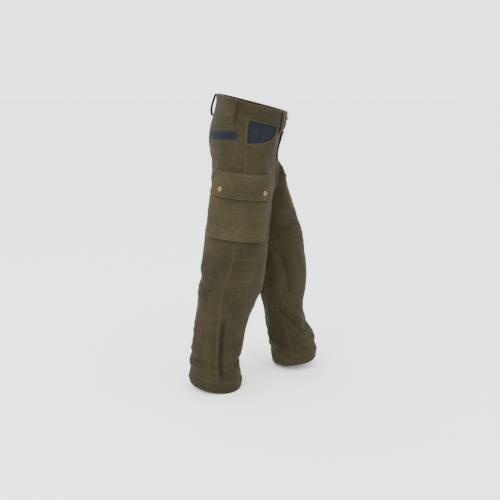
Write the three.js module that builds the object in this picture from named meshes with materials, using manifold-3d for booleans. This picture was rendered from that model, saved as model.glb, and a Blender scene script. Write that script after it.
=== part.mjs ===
// Forestry work trousers with cut protection in the legs, in the walking stance of their wearer.
// Millimetres. +X is the wearer's front, +Y the wearer's left, +Z up; the origin is the middle of the waist opening.
// The cloth is laid out hanging straight down first, as tubes of sections, and each leg is then turned
// at its hip and knee into the stance. Every piece is a layer of that one surface.
import * as THREE from "three";
import { mergeVertices } from "three/addons/utils/BufferGeometryUtils.js";
import Module from "manifold-3d";

const wasm = await Module();
wasm.setup();

// ---- Driving dimensions ----
const CLOTH = 1.6; // outer cloth with its backing
const GAP = 0.4; // clearance between two edges that meet
const LAYER = 1; // clearance between two layers that lie on each other
const SEAM = 0.3; // half the gap between two panels that meet at a seam
const BAND_HEIGHT = 54; // waistband
const BAND_DEPTH = 6; // depth of the folded waistband behind its outer face
const WAIST_TILT = 0.25; // fall of the waist's top edge per millimetre forwards
const WAIST_LEVEL = -8; // height of the waist's top edge above the hip line
const HIP = { x: -20, z: -215 }; // hip axis, along Y
const THIGH = 463; // hip axis to knee axis
const LEG_END = -1022; // hem, with the legs hanging straight
const HEM_HEIGHT = 42;
const KNEE_BAND = [-545, -766]; // pleated knee panel, which bends with the knee
const HIP_BAND = 100; // height of the soft stretch that bends with the hip
const CROTCH = -335; // where the two legs part
const STANCE = { right: { hip: -5.9, knee: 2.5 }, left: { hip: 15.4, knee: 7.9 } }; // degrees, forward hip, bent knee
const LOOP = { width: 20, below: 24, stand: 3.6, cloth: 1.8, tack: 7 };
// The zip starts this far below the waistband and ends at a height.
const ZIP = { below: 4.2, bottom: -258, sink: 1.5, tape: 12, back: 10, cloth: 1.2, tooth: 2.4, pitch: 8 };
const SLIDER = { length: 13, width: 9.4, plate: 1.2, post: 0.7, play: 0.35 };
const SNAP = { cap: 8.5, socket: 6.2, shank: 2.2, stud: 1.9, base: 5.6 };
const PAD = 4.5; // cut-protection pad
const PAD_TOP = -414;
const PAD_END = -950;
const COLUMNS = 22; // flat facets round a leg: every layer bends at the same places, so they never touch
const ROW = 58; // height of a facet

// Sections of the cloth: height, outer and inner side of one leg across. A negative inner side lies past the middle.
const ACROSS = [
  [30, 163, -163], [-10, 165, -165], [-54, 173, -173], [-90, 180, -176], [-125, 186, -166], [-170, 191, -141],
  [-215, 195, -110], [-260, 198, -70], [-295, 199, -34], [-320, 200, -9], [CROTCH, 200, 1.2], [-380, 201, 7],
  [-480, 204, 12], [-678, 206, 22], [-880, 206, 34], [LEG_END, 208, 38],
];
// The same sections along: height, front and back, the same for both legs down to the thigh.
const PELVIS = [
  [30, 127, -123], [-10, 127, -125], [-54, 123, -136], [-90, 118, -146], [-125, 112, -150], [-170, 102, -143],
  [-215, 95, -134], [-260, 91, -128], [-300, 89, -125], [-345, 88, -125], [-480, 91, -131],
];
const ALONG = {
  right: [...PELVIS, [-565, 93, -129], [-645, 88, -131], [-720, 69, -133], [-800, 52, -132], [-870, 50, -131],
    [-925, 48, -130], [-975, 60, -122], [LEG_END, 66, -121]],
  left: [...PELVIS, [-565, 96, -126], [-645, 84, -122], [-720, 70, -109], [-800, 50, -101], [-870, 52, -100],
    [-930, 76, -98], [-975, 77, -93], [LEG_END, 71, -89]],
};
const SIDES = { right: -1, left: 1 };

// ---- The cloth surface ----
const smooth = (t) => { const c = Math.min(Math.max(t, 0), 1); return c * c * (3 - 2 * c); };

// A column of a section table at a height, through its rows on a smooth curve.
function at(rows, z, column) {
  let i = rows.findIndex((row) => row[0] <= z);
  i = Math.min(Math.max(i < 0 ? rows.length - 1 : i, 1), rows.length - 1);
  const [a, b] = [rows[i - 1], rows[i]];
  const slope = (p, q) => (q[column] - p[column]) / (q[0] - p[0]);
  const before = i > 1 ? (slope(rows[i - 2], a) + slope(a, b)) / 2 : slope(a, b);
  const after = i < rows.length - 1 ? (slope(a, b) + slope(b, rows[i + 1])) / 2 : slope(a, b);
  const t = Math.min(Math.max((z - a[0]) / (b[0] - a[0]), 0), 1);
  const h = b[0] - a[0];
  return (2 * t ** 3 - 3 * t * t + 1) * a[column] + (t ** 3 - 2 * t * t + t) * h * before
    + (3 * t * t - 2 * t ** 3) * b[column] + (t ** 3 - t * t) * h * after;
}

// A point of the hanging cloth. u runs round a leg: 0 at the inseam or centre front, 0.5 at the side seam,
// 1 at the inseam or centre back. off is the distance outwards from the cloth's inner face.
function rounded(side, u, z, off) {
  const [outer, inner] = [at(ACROSS, z, 1) + off, at(ACROSS, z, 2) - off];
  const [front, back] = [at(ALONG[side], z, 1) + off, at(ALONG[side], z, 2) - off];
  const [centre, half] = [(outer + inner) / 2, (outer - inner) / 2];
  const start = Math.acos(Math.min(Math.max((centre - SEAM) / half, -1), 1));
  const angle = start + u * 2 * (Math.PI - start);
  const y = centre - half * Math.cos(angle);
  const x = (front + back) / 2 + ((front - back) / 2) * Math.sin(angle);
  return new THREE.Vector3(x, SIDES[side] * y, z);
}

// The same cloth in facets, flat between the shared lines round the leg and down it.
function hanging(side, u, z, off) {
  const [column, row] = [Math.floor(u * COLUMNS), Math.floor(z / ROW)];
  const along = (line) => rounded(side, column / COLUMNS, line * ROW, off)
    .lerp(rounded(side, (column + 1) / COLUMNS, line * ROW, off), u * COLUMNS - column);
  return along(row).lerp(along(row + 1), z / ROW - row);
}

// Turns a point about an axis along Y: positive degrees swing what hangs below towards the front.
function swing(point, axis, degrees) {
  const a = THREE.MathUtils.degToRad(degrees);
  const [x, z] = [point.x - axis.x, point.z - axis.z];
  return new THREE.Vector3(axis.x + x * Math.cos(a) - z * Math.sin(a), point.y, axis.z + x * Math.sin(a) + z * Math.cos(a));
}

// The hanging cloth brought into the stance: the soft bands turn little by little, the rest whole.
const KNEE = { x: HIP.x, z: HIP.z - THIGH };
const HIP_RISE = { height: 185, width: 135 }; // how much higher the hip's soft band lies at the side than at the crotch
const hipBandTop = (y) => CROTCH + HIP_RISE.height * smooth(Math.abs(y) / HIP_RISE.width);
function posed(side, point) {
  const knee = smooth((KNEE_BAND[0] - point.z) / (KNEE_BAND[0] - KNEE_BAND[1]));
  const hip = smooth((hipBandTop(point.y) - point.z) / HIP_BAND);
  return swing(swing(point, KNEE, -STANCE[side].knee * knee), HIP, STANCE[side].hip * hip);
}
const cloth = (side, u, z, off) => posed(side, hanging(side, u, z, off));

// ---- Solids ----
// Any three.js geometry as a manifold-3d solid, whichever way its faces were wound.
function solid(geometry) {
  const bare = geometry.clone();
  ["normal", "uv"].forEach((name) => bare.deleteAttribute(name));
  const merged = mergeVertices(bare, 1e-4);
  const make = (triVerts) => new wasm.Manifold(new wasm.Mesh({
    numProp: 3, vertProperties: merged.attributes.position.array, triVerts,
  }));
  const index = new Uint32Array(merged.index.array);
  const made = make(index);
  return made.volume() > 0 ? made : make(index.slice().reverse());
}

// A block of (nu + 1) by (nv + 1) by 2 points as a closed solid: the inner and outer skin and the four rims.
// point takes the column, the row and the skin.
function block(nu, nv, point) {
  const positions = [];
  for (let k = 0; k < 2; k++)
    for (let j = 0; j <= nv; j++)
      for (let i = 0; i <= nu; i++) positions.push(...point(i, j, k).toArray());
  const id = (i, j, k) => (k * (nv + 1) + j) * (nu + 1) + i;
  const index = [];
  const quad = (a, b, c, d) => index.push(a, b, c, a, c, d);
  for (let j = 0; j < nv; j++)
    for (let i = 0; i < nu; i++) {
      quad(id(i, j, 1), id(i + 1, j, 1), id(i + 1, j + 1, 1), id(i, j + 1, 1));
      quad(id(i, j, 0), id(i, j + 1, 0), id(i + 1, j + 1, 0), id(i + 1, j, 0));
    }
  for (let i = 0; i < nu; i++) {
    quad(id(i, 0, 0), id(i + 1, 0, 0), id(i + 1, 0, 1), id(i, 0, 1));
    quad(id(i, nv, 0), id(i, nv, 1), id(i + 1, nv, 1), id(i + 1, nv, 0));
  }
  for (let j = 0; j < nv; j++) {
    quad(id(0, j, 0), id(0, j, 1), id(0, j + 1, 1), id(0, j + 1, 0));
    quad(id(nu, j, 0), id(nu, j + 1, 0), id(nu, j + 1, 1), id(nu, j, 1));
  }
  const geometry = new THREE.BufferGeometry();
  geometry.setAttribute("position", new THREE.Float32BufferAttribute(positions, 3));
  return solid(geometry.setIndex(index));
}

// A piece of cloth between two places round the leg and two heights, which may change round the leg.
const height = (value, u) => (typeof value === "function" ? value(u) : value);
function panel(side, [u0, u1], [top, bottom], [low, high]) {
  const columns = [u0];
  for (let line = Math.floor(u0 * COLUMNS + 1.05); line < u1 * COLUMNS - 0.05; line++) columns.push(line / COLUMNS);
  columns.push(u1);
  const ends = columns.map((u) => [height(top, u), height(bottom, u)]);
  // Rows that run level on the shared lines, and sloping ones between them and a sloping edge.
  const [lowTop, highBottom] = [Math.min(...ends.map(([a]) => a)), Math.max(...ends.map(([, b]) => b))];
  const levels = [];
  for (let line = Math.ceil((lowTop - 6) / ROW) - 1; line * ROW > highBottom + 6; line--) levels.push(line * ROW);
  const slopes = (from, to) => Math.max(1, Math.round(Math.max(...from.map((z, i) => Math.abs(z - to[i]))) / ROW));
  const level = (z) => ends.map(() => z);
  const stops = [ends.map(([a]) => a), ...levels.map(level), ends.map(([, b]) => b)];
  const rows = [stops[0]];
  for (let i = 1; i < stops.length; i++) {
    const count = slopes(stops[i - 1], stops[i]);
    for (let n = 1; n <= count; n++) rows.push(stops[i - 1].map((z, c) => THREE.MathUtils.lerp(z, stops[i][c], n / count)));
  }
  return block(columns.length - 1, rows.length - 1, (i, j, k) => cloth(side, columns[i], rows[j][i], k ? high : low));
}

// A prism of an outline in the XZ plane, between two distances from the middle on one side.
function prism(outline, side, near, far) {
  const made = new THREE.ExtrudeGeometry(outline, { depth: far - near, bevelEnabled: false, curveSegments: 5 });
  made.rotateX(Math.PI / 2).translate(0, far, 0);
  return solid(SIDES[side] > 0 ? made : made.scale(1, -1, 1));
}

// ---- Materials ----
const finish = (color, roughness, metalness = 0) => new THREE.MeshStandardMaterial({ color, roughness, metalness });
const canvas = finish("#58513e", 0.9);
const navy = finish("#35373e", 0.85);
const lining = finish("#4a4636", 0.9);
const elastic = finish("#25251f", 0.8);
const padding = finish("#c8c19a", 0.95);
const tape = finish("#15140f", 0.8);
const brass = finish("#a8935c", 0.35, 1);
const steel = finish("#b9b9b4", 0.3, 1);

const trousers = new THREE.Group();
function add(name, shape, material) {
  const mesh = shape.getMesh();
  const geometry = new THREE.BufferGeometry();
  geometry.setAttribute("position", new THREE.Float32BufferAttribute(mesh.vertProperties, 3));
  geometry.setIndex(new THREE.BufferAttribute(mesh.triVerts, 1));
  geometry.computeVertexNormals();
  const piece = new THREE.Mesh(geometry, material);
  piece.name = name;
  trousers.add(piece);
}

// ---- Places shared by several pieces ----
const EDGE = 0.0006; // half a seam's gap, as a share of the way round a leg
const FRONT = [EDGE, 0.5 - EDGE];
const BACK = [0.5 + EDGE, 1 - EDGE];
const AROUND = [EDGE, 1 - EDGE];
const bandTop = (side) => (u) => WAIST_LEVEL - WAIST_TILT * hanging(side, u, 0, 0).x;
const below = (height0, drop) => (u) => height(height0, u) - drop;
const bandBottom = (side) => below(bandTop(side), BAND_HEIGHT);
const hipTop = (u) => Math.max(hipBandTop(hanging("right", u, -240, 0).y), CROTCH + 6); // top of the hip's soft band
const hipBottom = below(hipTop, HIP_BAND);

// ---- Pieces ----
// The waistband is folded over the elastic: two walls and a top fold, open below.
function waistband(side) {
  const [top, bottom] = [bandTop(side), bandBottom(side)];
  const whole = panel(side, AROUND, [top, bottom], [-BAND_DEPTH, CLOTH]);
  const channel = panel(side, [-EDGE * 8, 1 + EDGE * 8], [below(top, CLOTH), below(bottom, 3)], [CLOTH - BAND_DEPTH, 0]);
  add(`waistband_${side}`, whole.subtract(channel), canvas);
  const elasticZ = [below(top, CLOTH + 3), below(bottom, -3)];
  const strip = panel(side, [0.09, 1 - EDGE], elasticZ, [CLOTH - BAND_DEPTH + LAYER, -LAYER]);
  add(`waist_elastic_${side}`, strip, elastic);
}

// A belt loop stands off the waistband and is tacked to it at the top and to the panel below.
function beltLoop(name, side, u, stand, material) {
  const share = LOOP.width / 2 / 600;
  const round = [u - share, u + share];
  const [top, bottom] = [below(bandTop(side), 2), below(bandBottom(side), LOOP.below)];
  const [low, high] = [CLOTH + stand, CLOTH + stand + LOOP.cloth];
  const strip = panel(side, round, [top, bottom], [low, high]);
  const upper = panel(side, round, [top, below(top, LOOP.tack)], [CLOTH + 1.6 * LAYER, high]);
  const lower = panel(side, round, [below(bottom, -LOOP.tack), bottom], [CLOTH + 1.6 * LAYER, high]);
  return { name, solid: strip.add(upper).add(lower), material };
}

// Hip part of the front panel, with the scooped mouth of the hip pocket and the edge of the fly cut out.
const SCOOP = new THREE.Shape();
SCOOP.moveTo(-60, -40);
SCOOP.lineTo(90, -40);
SCOOP.lineTo(93, -88);
SCOOP.bezierCurveTo(91, -124, 73, -139, 40, -141);
SCOOP.lineTo(-60, -141);
function hipFront(side) {
  const whole = panel(side, FRONT, [below(bandBottom(side), GAP), below(hipTop, -GAP)], [0, CLOTH]);
  const low = ZIP.bottom - 5;
  const corners = [[0, 0], [200, 0], [200, low], [0, low]].map(([x, z]) => new THREE.Vector2(x, z));
  const fly = prism(new THREE.Shape(corners), side, -20, ZIP.tape);
  return whole.subtract(prism(SCOOP, side, 60, 260)).subtract(fly);
}

function hip(side) {
  add(`front_hip_${side}`, hipFront(side), canvas);
  add(`back_hip_${side}`, panel(side, BACK, [below(bandBottom(side), GAP), below(hipTop, -GAP)], [0, CLOTH]), canvas);
  const pocketTop = below(bandBottom(side), GAP);
  add(`front_pocket_facing_${side}`, panel(side, [0.16, 0.498], [pocketTop, -158], [-CLOTH - LAYER, -LAYER]), navy);
  add(`front_pocket_bag_${side}`, panel(side, [0.12, 0.49], [pocketTop, -214], [-2 * CLOTH - 2 * LAYER, -CLOTH - 2 * LAYER]), lining);
  const place = [0.548, 0.872];
  const lift = CLOTH + 2.6 * LAYER;
  add(`back_pocket_trim_${side}`, panel(side, place, [-104, -132], [lift, lift + CLOTH]), navy);
  add(`back_pocket_${side}`, panel(side, place, [-132.6, -198], [lift, lift + CLOTH]), canvas);
}

// The thigh, with the cut-protection pad inside its front and the cargo pocket on its outer side.
const CARGO = { round: [0.318, 0.67], top: -252, bottom: -466, depth: 5 };
const FLAP = { round: [0.285, 0.695], top: -240, bottom: -324, lift: 6 };
const level = { pocket: CLOTH + LAYER };
level.flap = level.pocket + CARGO.depth + FLAP.lift;
const SNAP_PLACES = { front: 7.5 / COLUMNS, rear: 13.5 / COLUMNS }; // each in the middle of a facet
const SNAP_Z = -301;

// The frame of a snap: on a facet of the cloth, with Y square to it and outwards.
function snapFrame(side, u, off) {
  const point = cloth(side, u, SNAP_Z, off);
  const round = cloth(side, u + 0.01, SNAP_Z, off).sub(cloth(side, u - 0.01, SNAP_Z, off));
  const up = cloth(side, u, SNAP_Z + 5, off).sub(cloth(side, u, SNAP_Z - 5, off));
  const out = round.cross(up).normalize().multiplyScalar(SIDES[side]);
  const turn = new THREE.Quaternion().setFromUnitVectors(new THREE.Vector3(0, 1, 0), out);
  return new THREE.Matrix4().compose(point, turn, new THREE.Vector3(1, 1, 1));
}
// A round piece from its profile of [radius, height above the cloth] pairs, closed on its axis.
function turned(profile, matrix) {
  const points = profile.map(([r, y]) => new THREE.Vector2(r, y));
  return solid(new THREE.LatheGeometry(points, 14).applyMatrix4(matrix));
}
// Both profiles start from the flap's inner face; the stud stands on the pocket below it.
const CAP_FOOT = CLOTH + 2.2; // the cap clears the curve of the flap
const SNAP_CAP = [[0, -3.4], [SNAP.socket, -3.4], [SNAP.socket, -1.6], [SNAP.shank, -1.6], [SNAP.shank, CAP_FOOT],
  [SNAP.cap, CAP_FOOT], [SNAP.cap, CAP_FOOT + 0.9], [SNAP.cap * 0.7, CAP_FOOT + 2.1], [0, CAP_FOOT + 2.6]];
const SNAP_BORE = [[0, -5], [SNAP.stud + GAP, -5], [SNAP.stud + GAP, -2.2], [0, -2.2]];
const SNAP_STUD = [[0, -4.6], [SNAP.base, -4.6], [SNAP.base, -4.1], [SNAP.stud, -4.1], [SNAP.stud, -2.8], [0, -2.6]];

function thigh(side) {
  add(`thigh_front_${side}`, panel(side, FRONT, [below(hipBottom, GAP), KNEE_BAND[0] + GAP], [0, CLOTH]), canvas);
  add(`thigh_back_${side}`, panel(side, BACK, [below(hipBottom, GAP), KNEE_BAND[0] + GAP], [0, CLOTH]), canvas);
  add(`thigh_pad_${side}`, panel(side, [0.145, 0.42], [PAD_TOP, KNEE.z + 18], [-LAYER - PAD, -LAYER]), padding);
  cargoPocket(side);
}

// The cargo pocket is a shallow tray of cloth, open at its top; its flap is sewn on above and snaps down over it.
function cargoPocket(side) {
  const inset = CLOTH / 660;
  const tray = panel(side, CARGO.round, [CARGO.top, CARGO.bottom], [level.pocket, level.pocket + CARGO.depth]);
  const inside = panel(side, [CARGO.round[0] + inset, CARGO.round[1] - inset], [CARGO.top + 3, CARGO.bottom + CLOTH],
    [level.pocket - 2, level.pocket + CARGO.depth - CLOTH], 4);
  add(`cargo_pocket_${side}`, tray.subtract(inside), canvas);
  let flap = panel(side, FLAP.round, [FLAP.top, FLAP.bottom], [level.flap, level.flap + CLOTH]);
  for (const [end, u] of Object.entries(SNAP_PLACES)) {
    const frame = snapFrame(side, u, level.flap);
    flap = flap.subtract(turned([[0, -4], [SNAP.shank + GAP, -4], [SNAP.shank + GAP, 6], [0, 6]], frame));
    add(`snap_cap_${end}_${side}`, turned(SNAP_CAP, frame).subtract(turned(SNAP_BORE, frame)), brass);
    add(`snap_stud_${end}_${side}`, turned(SNAP_STUD, frame), brass);
  }
  add(`cargo_flap_${side}`, flap, canvas);
}

// Below the knee: the two panels, the pad and the turned-up hem.
function shin(side) {
  const ends = [KNEE_BAND[1] - GAP, LEG_END + HEM_HEIGHT];
  add(`shin_front_${side}`, panel(side, FRONT, ends, [0, CLOTH]), canvas);
  add(`shin_back_${side}`, panel(side, BACK, ends, [0, CLOTH]), canvas);
  add(`shin_pad_${side}`, panel(side, [0.12, 0.42], [KNEE.z - 18, PAD_END], [-LAYER - PAD, -LAYER]), padding);
  add(`hem_${side}`, panel(side, AROUND, [LEG_END + HEM_HEIGHT - GAP, LEG_END], [0, 2 * CLOTH]), canvas);
}

// The soft bands of each leg, which bend with the hip and the knee.
function softBands(side) {
  add(`hip_band_${side}`, panel(side, AROUND, [hipTop, hipBottom], [0, CLOTH]), canvas);
  add(`knee_band_${side}`, panel(side, AROUND, [KNEE_BAND[0] - GAP, KNEE_BAND[1]], [0, CLOTH]), canvas);
}

// The fly: the zip lies in its own straight frame, whose Y runs up the zip, X to the wearer's left and Z forwards.
const zipTop = bandBottom("left")(0) - ZIP.below;
const zipEnds = [zipTop, ZIP.bottom].map((z) => new THREE.Vector3(hanging("left", 0, z, 0).x - ZIP.sink, 0, z));
const zipUp = zipEnds[0].clone().sub(zipEnds[1]);
const ZIP_LENGTH = zipUp.length();
zipUp.normalize();
const zipLeft = new THREE.Vector3(0, 1, 0);
const zipOut = new THREE.Vector3().crossVectors(zipLeft, zipUp);
const zipFrame = new THREE.Matrix4().makeBasis(zipLeft, zipUp, zipOut).setPosition(zipEnds[1]);
const inZip = (geometry) => solid(geometry.applyMatrix4(zipFrame));
const zipBox = (wide, high, deep, x, y, z) => inZip(new THREE.BoxGeometry(wide, high, deep).translate(x, y, z));

function zipHalf(side) {
  const s = SIDES[side];
  const outline = [[2.4, -0.6], [ZIP.tape + 6, -ZIP.back], [ZIP.tape + 6, -ZIP.back - ZIP.cloth], [2.4, -0.6 - ZIP.cloth]];
  const shape = new THREE.Shape(outline.map(([x, z]) => new THREE.Vector2(s * x, z)));
  const strip = new THREE.ExtrudeGeometry(shape, { depth: ZIP_LENGTH, bevelEnabled: false });
  strip.rotateX(-Math.PI / 2).scale(1, 1, -1);
  let half = inZip(strip);
  const rail = zipBox(1.3, ZIP_LENGTH - 16, ZIP.tooth, s * 2.5, ZIP_LENGTH / 2 - 2, -0.6);
  half = half.add(rail);
  for (let y = 9; y < ZIP_LENGTH - 12; y += ZIP.pitch)
    half = half.add(zipBox(1.6, ZIP.pitch * 0.55, ZIP.tooth, s * 1.7, y, -0.6));
  add(`zip_tape_${side}`, half, tape);
}

// The slider wraps the chain with two plates and side flanges; its post runs between the two rows of teeth.
const SLIDER_Y = ZIP_LENGTH - 18;
const BAIL = { y: SLIDER_Y + 1, z: 4.2 };
function slider() {
  const [half, room] = [ZIP.tooth / 2 + SLIDER.play, SLIDER.width / 2];
  const plate = (z) => zipBox(SLIDER.width, SLIDER.length, SLIDER.plate, 0, SLIDER_Y, z);
  let body = plate(-0.6 + half + SLIDER.plate / 2).add(plate(-0.6 - half - 2.6 - SLIDER.plate / 2));
  body = body.add(zipBox(SLIDER.post, SLIDER.length, 2 * half + 2.8, 0, SLIDER_Y, -1.9));
  for (const s of [-1, 1])
    body = body.add(zipBox(0.9, SLIDER.length, 1.2, s * (room - 0.45), SLIDER_Y, -0.6 + half - 0.5));
  const post = (y) => zipBox(2.2, 1.4, 3.9, 0, BAIL.y + y, -0.6 + half + SLIDER.plate + 1.65);
  body = body.add(post(-3.4)).add(post(3.4)).add(zipBox(2.2, 8.2, 1.1, 0, BAIL.y, BAIL.z + 1.7));
  add("zip_slider", body, steel);
  const tab = new THREE.Shape([[-3, 0.7], [3, 0.7], [4.2, -26], [-4.2, -26]].map(([x, y]) => new THREE.Vector2(x, y)));
  const puller = new THREE.ExtrudeGeometry(tab, { depth: 1.2, bevelEnabled: false });
  puller.translate(0, BAIL.y, BAIL.z - 0.75);
  add("zip_puller", inZip(puller).subtract(zipBox(3.2, 5.1, 6, 0, BAIL.y - 3.25, BAIL.z)), steel);
}

function fly() {
  zipHalf("right");
  zipHalf("left");
  slider();
  add("zip_bottom_stop", zipBox(7, 3.2, 5, 0, -1.8, -1.6), steel);
  add("fly_shield", zipBox(52, ZIP_LENGTH - 4, CLOTH, 0, ZIP_LENGTH / 2, -ZIP.back - ZIP.cloth - 1.4), canvas);
  const outwards = new THREE.Vector3(1, 0, 0.12).normalize();
  const turn = new THREE.Quaternion().setFromUnitVectors(new THREE.Vector3(0, 1, 0), outwards);
  const place = new THREE.Vector3(hanging("left", 0.03, -60, CLOTH).x + GAP, 0, -66);
  const button = new THREE.Matrix4().compose(place, turn, new THREE.Vector3(1, 1, 1));
  const profile = [[0, 0], [3.2, 0], [3.2, 2.2], [SNAP.cap, 2.2], [SNAP.cap, 4], [SNAP.cap * 0.75, 5], [0, 5.4]];
  add("waist_button", turned(profile, button), brass);
}

const loops = [];
for (const side of Object.keys(SIDES)) {
  waistband(side);
  hip(side);
  softBands(side);
  thigh(side);
  shin(side);
  loops.push(beltLoop(`belt_loop_front_${side}`, side, 0.145, LOOP.stand, canvas));
  loops.push(beltLoop(`belt_loop_side_${side}`, side, 0.617, LOOP.stand, canvas));
}
loops.push(beltLoop("belt_loop_back", "right", 1, 10, tape));
loops.forEach((loop) => add(loop.name, loop.solid, loop.material));
fly();

export default trousers;
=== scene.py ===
"""Olive forestry trousers with cut protection, worn in a walking stance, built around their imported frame."""

import logging
import math
from dataclasses import dataclass, field
from enum import Enum
from typing import Callable, Sequence

import bpy
import numpy as np
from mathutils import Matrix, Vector


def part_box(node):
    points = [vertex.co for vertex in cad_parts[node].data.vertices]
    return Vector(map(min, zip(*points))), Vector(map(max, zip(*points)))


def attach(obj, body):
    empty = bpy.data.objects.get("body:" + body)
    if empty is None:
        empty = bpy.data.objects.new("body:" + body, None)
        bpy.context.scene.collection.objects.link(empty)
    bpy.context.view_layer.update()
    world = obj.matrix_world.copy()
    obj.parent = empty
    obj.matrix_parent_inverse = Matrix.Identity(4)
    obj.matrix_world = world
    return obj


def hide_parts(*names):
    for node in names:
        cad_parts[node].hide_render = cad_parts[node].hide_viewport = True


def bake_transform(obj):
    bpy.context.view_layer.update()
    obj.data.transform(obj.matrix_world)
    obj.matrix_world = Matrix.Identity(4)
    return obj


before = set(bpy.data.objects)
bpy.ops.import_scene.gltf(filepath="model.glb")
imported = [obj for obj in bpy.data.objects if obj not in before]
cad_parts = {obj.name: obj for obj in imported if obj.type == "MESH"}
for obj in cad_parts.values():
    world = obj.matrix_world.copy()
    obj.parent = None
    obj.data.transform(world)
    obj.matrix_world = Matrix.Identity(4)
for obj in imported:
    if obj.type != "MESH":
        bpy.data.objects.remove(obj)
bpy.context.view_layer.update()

log = logging.getLogger("trousers")
Array = np.ndarray
Height = float | Callable[[Array], Array]
MM = 0.001

# ---- Sizes of the garment, in millimetres, the same as the frame's ----
CLOTH = 1.6
SEAM = 0.3
BAND_HEIGHT = 54.0
WAIST_TILT = 0.25
WAIST_LEVEL = -8.0
HIP = np.array([-20.0, 0.0, -215.0])
THIGH = 463.0
LEG_END = -1022.0
HEM_HEIGHT = 42.0
KNEE_TOP = -545.0
KNEE_BOTTOM = -766.0
HIP_BAND = 100.0
HIP_RISE = (185.0, 135.0)
CROTCH = -335.0
MIDDLE = 0.02  # each half of the seat stays on its own side by this much
EDGE = 0.00005  # half a seam's gap, as a share of the way round a leg
FELL = 5.0  # half the width of a felled seam
FLY_RECESS = 15.0  # how far the cloth beside the fly falls back from the zip
FLY_REACH = 95.0  # how far round from the zip that falling back reaches
PUCKER_REACH = 10.0  # how far from a seam its stitching puckers the cloth
LOOSE_FROM = 34.0  # how far from the inseam the cloth creases freely
GROOVE = 2.4  # half the width of a sewn cross line's groove
KNEE_LINES = (-528.0, -601.0, -682.0, -750.0)  # cross seams that shape the knee
GIRTH = 640.0  # mean way round a leg, which turns a place round the leg into a length of cloth

FRONT_SPLIT = KNEE_LINES[0]  # the front is cut at the knee's first cross seam
BACK_SPLIT = -458.0  # the seat panel ends under the cargo pocket

# Sections of the cloth: height, then the outer and inner side of one leg across.
ACROSS = np.array([
    [30, 163, -163], [-10, 165, -165], [-54, 173, -173], [-90, 180, -176], [-125, 186, -166],
    [-170, 191, -141],
    [-215, 195, -110], [-260, 198, -70], [-295, 199, -34], [-320, 200, -9], [CROTCH, 200, 1.2],
    [-380, 201, 7], [-480, 204, 12], [-678, 206, 22], [-880, 206, 34], [LEG_END, 208, 38],
], float)
# Height, then front and back. Both legs share the pelvis and the thigh's upper part.
PELVIS = [
    [30, 127, -123], [-10, 127, -125], [-54, 123, -136], [-90, 118, -146], [-125, 112, -150],
    [-170, 102, -143],
    [-215, 95, -134], [-260, 91, -128], [-300, 89, -125], [-345, 88, -125], [-480, 91, -131],
]
RIGHT_ALONG = np.array([
    *PELVIS, [-565, 93, -129], [-645, 88, -131], [-720, 69, -133], [-800, 52, -132], [-870, 50, -131],
    [-925, 48, -130], [-975, 60, -122], [LEG_END, 66, -121],
], float)
LEFT_ALONG = np.array([
    *PELVIS, [-565, 96, -126], [-645, 84, -122], [-720, 70, -109], [-800, 50, -101], [-870, 52, -100],
    [-930, 76, -98], [-975, 77, -93], [LEG_END, 71, -89],
], float)
# How far the outer seam wanders forwards at each height, as a share of the way round the leg.
DRIFT = np.array([
    [-40, 0.022], [-104, 0.03], [-140, 0.036], [-240, 0.036], [-300, 0.03], [-480, 0.012], [-560, -0.003],
    [-670, -0.024], [-762, 0.0], [-835, 0.014], [-930, 0.028], [LEG_END, 0.033],
], float)
DRIFT_REACH = 0.22  # how wide the cloth beside the seam follows it


def smooth(t: Array) -> Array:
    """Ease from 0 to 1 over the unit interval."""
    c = np.clip(t, 0, 1)
    return c * c * (3 - 2 * c)


def through(rows: Array, z: Array, column: int) -> Array:
    """Read a column of a section table on a smooth curve.

    Args:
        rows: The table, highest section first.
        z: Heights to read at.
        column: The column to read.

    Returns:
        One value for each height.
    """
    heights, values = rows[::-1, 0], rows[::-1, column]
    slopes = np.diff(values) / np.diff(heights)
    tangents = np.concatenate([slopes[:1], (slopes[:-1] + slopes[1:]) / 2, slopes[-1:]])
    i = np.clip(np.searchsorted(heights, z) - 1, 0, len(heights) - 2)
    h = heights[i + 1] - heights[i]
    t = np.clip((z - heights[i]) / h, 0, 1)
    return (
        (2 * t**3 - 3 * t**2 + 1) * values[i] + (t**3 - 2 * t**2 + t) * h * tangents[i]
        + (3 * t**2 - 2 * t**3) * values[i + 1] + (t**3 - t**2) * h * tangents[i + 1]
    )


def swing(points: Array, axis: Array, degrees: Array | float) -> Array:
    """Turn points about an axis along Y; positive swings what hangs below towards the front.

    Args:
        points: Points, with x, y and z along the last axis.
        axis: A point that the axis passes through.
        degrees: The angle.

    Returns:
        The turned points.
    """
    a = np.radians(degrees)
    x, z = points[..., 0] - axis[0], points[..., 2] - axis[2]
    forwards = axis[0] + x * np.cos(a) - z * np.sin(a)
    upwards = axis[2] + x * np.sin(a) + z * np.cos(a)
    return np.stack([forwards, points[..., 1], upwards], -1)


def height_at(value: Height, u: Array) -> Array:
    """The height of an edge at places round the leg, whether it is level or a function."""
    return value(u) if callable(value) else np.full_like(u, float(value))


class Side(Enum):
    """The wearer's side, with the sign of its Y."""

    RIGHT = -1
    LEFT = 1

    @property
    def word(self) -> str:
        """The side's name as nodes and bodies have it."""
        return self.name.lower()


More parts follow.
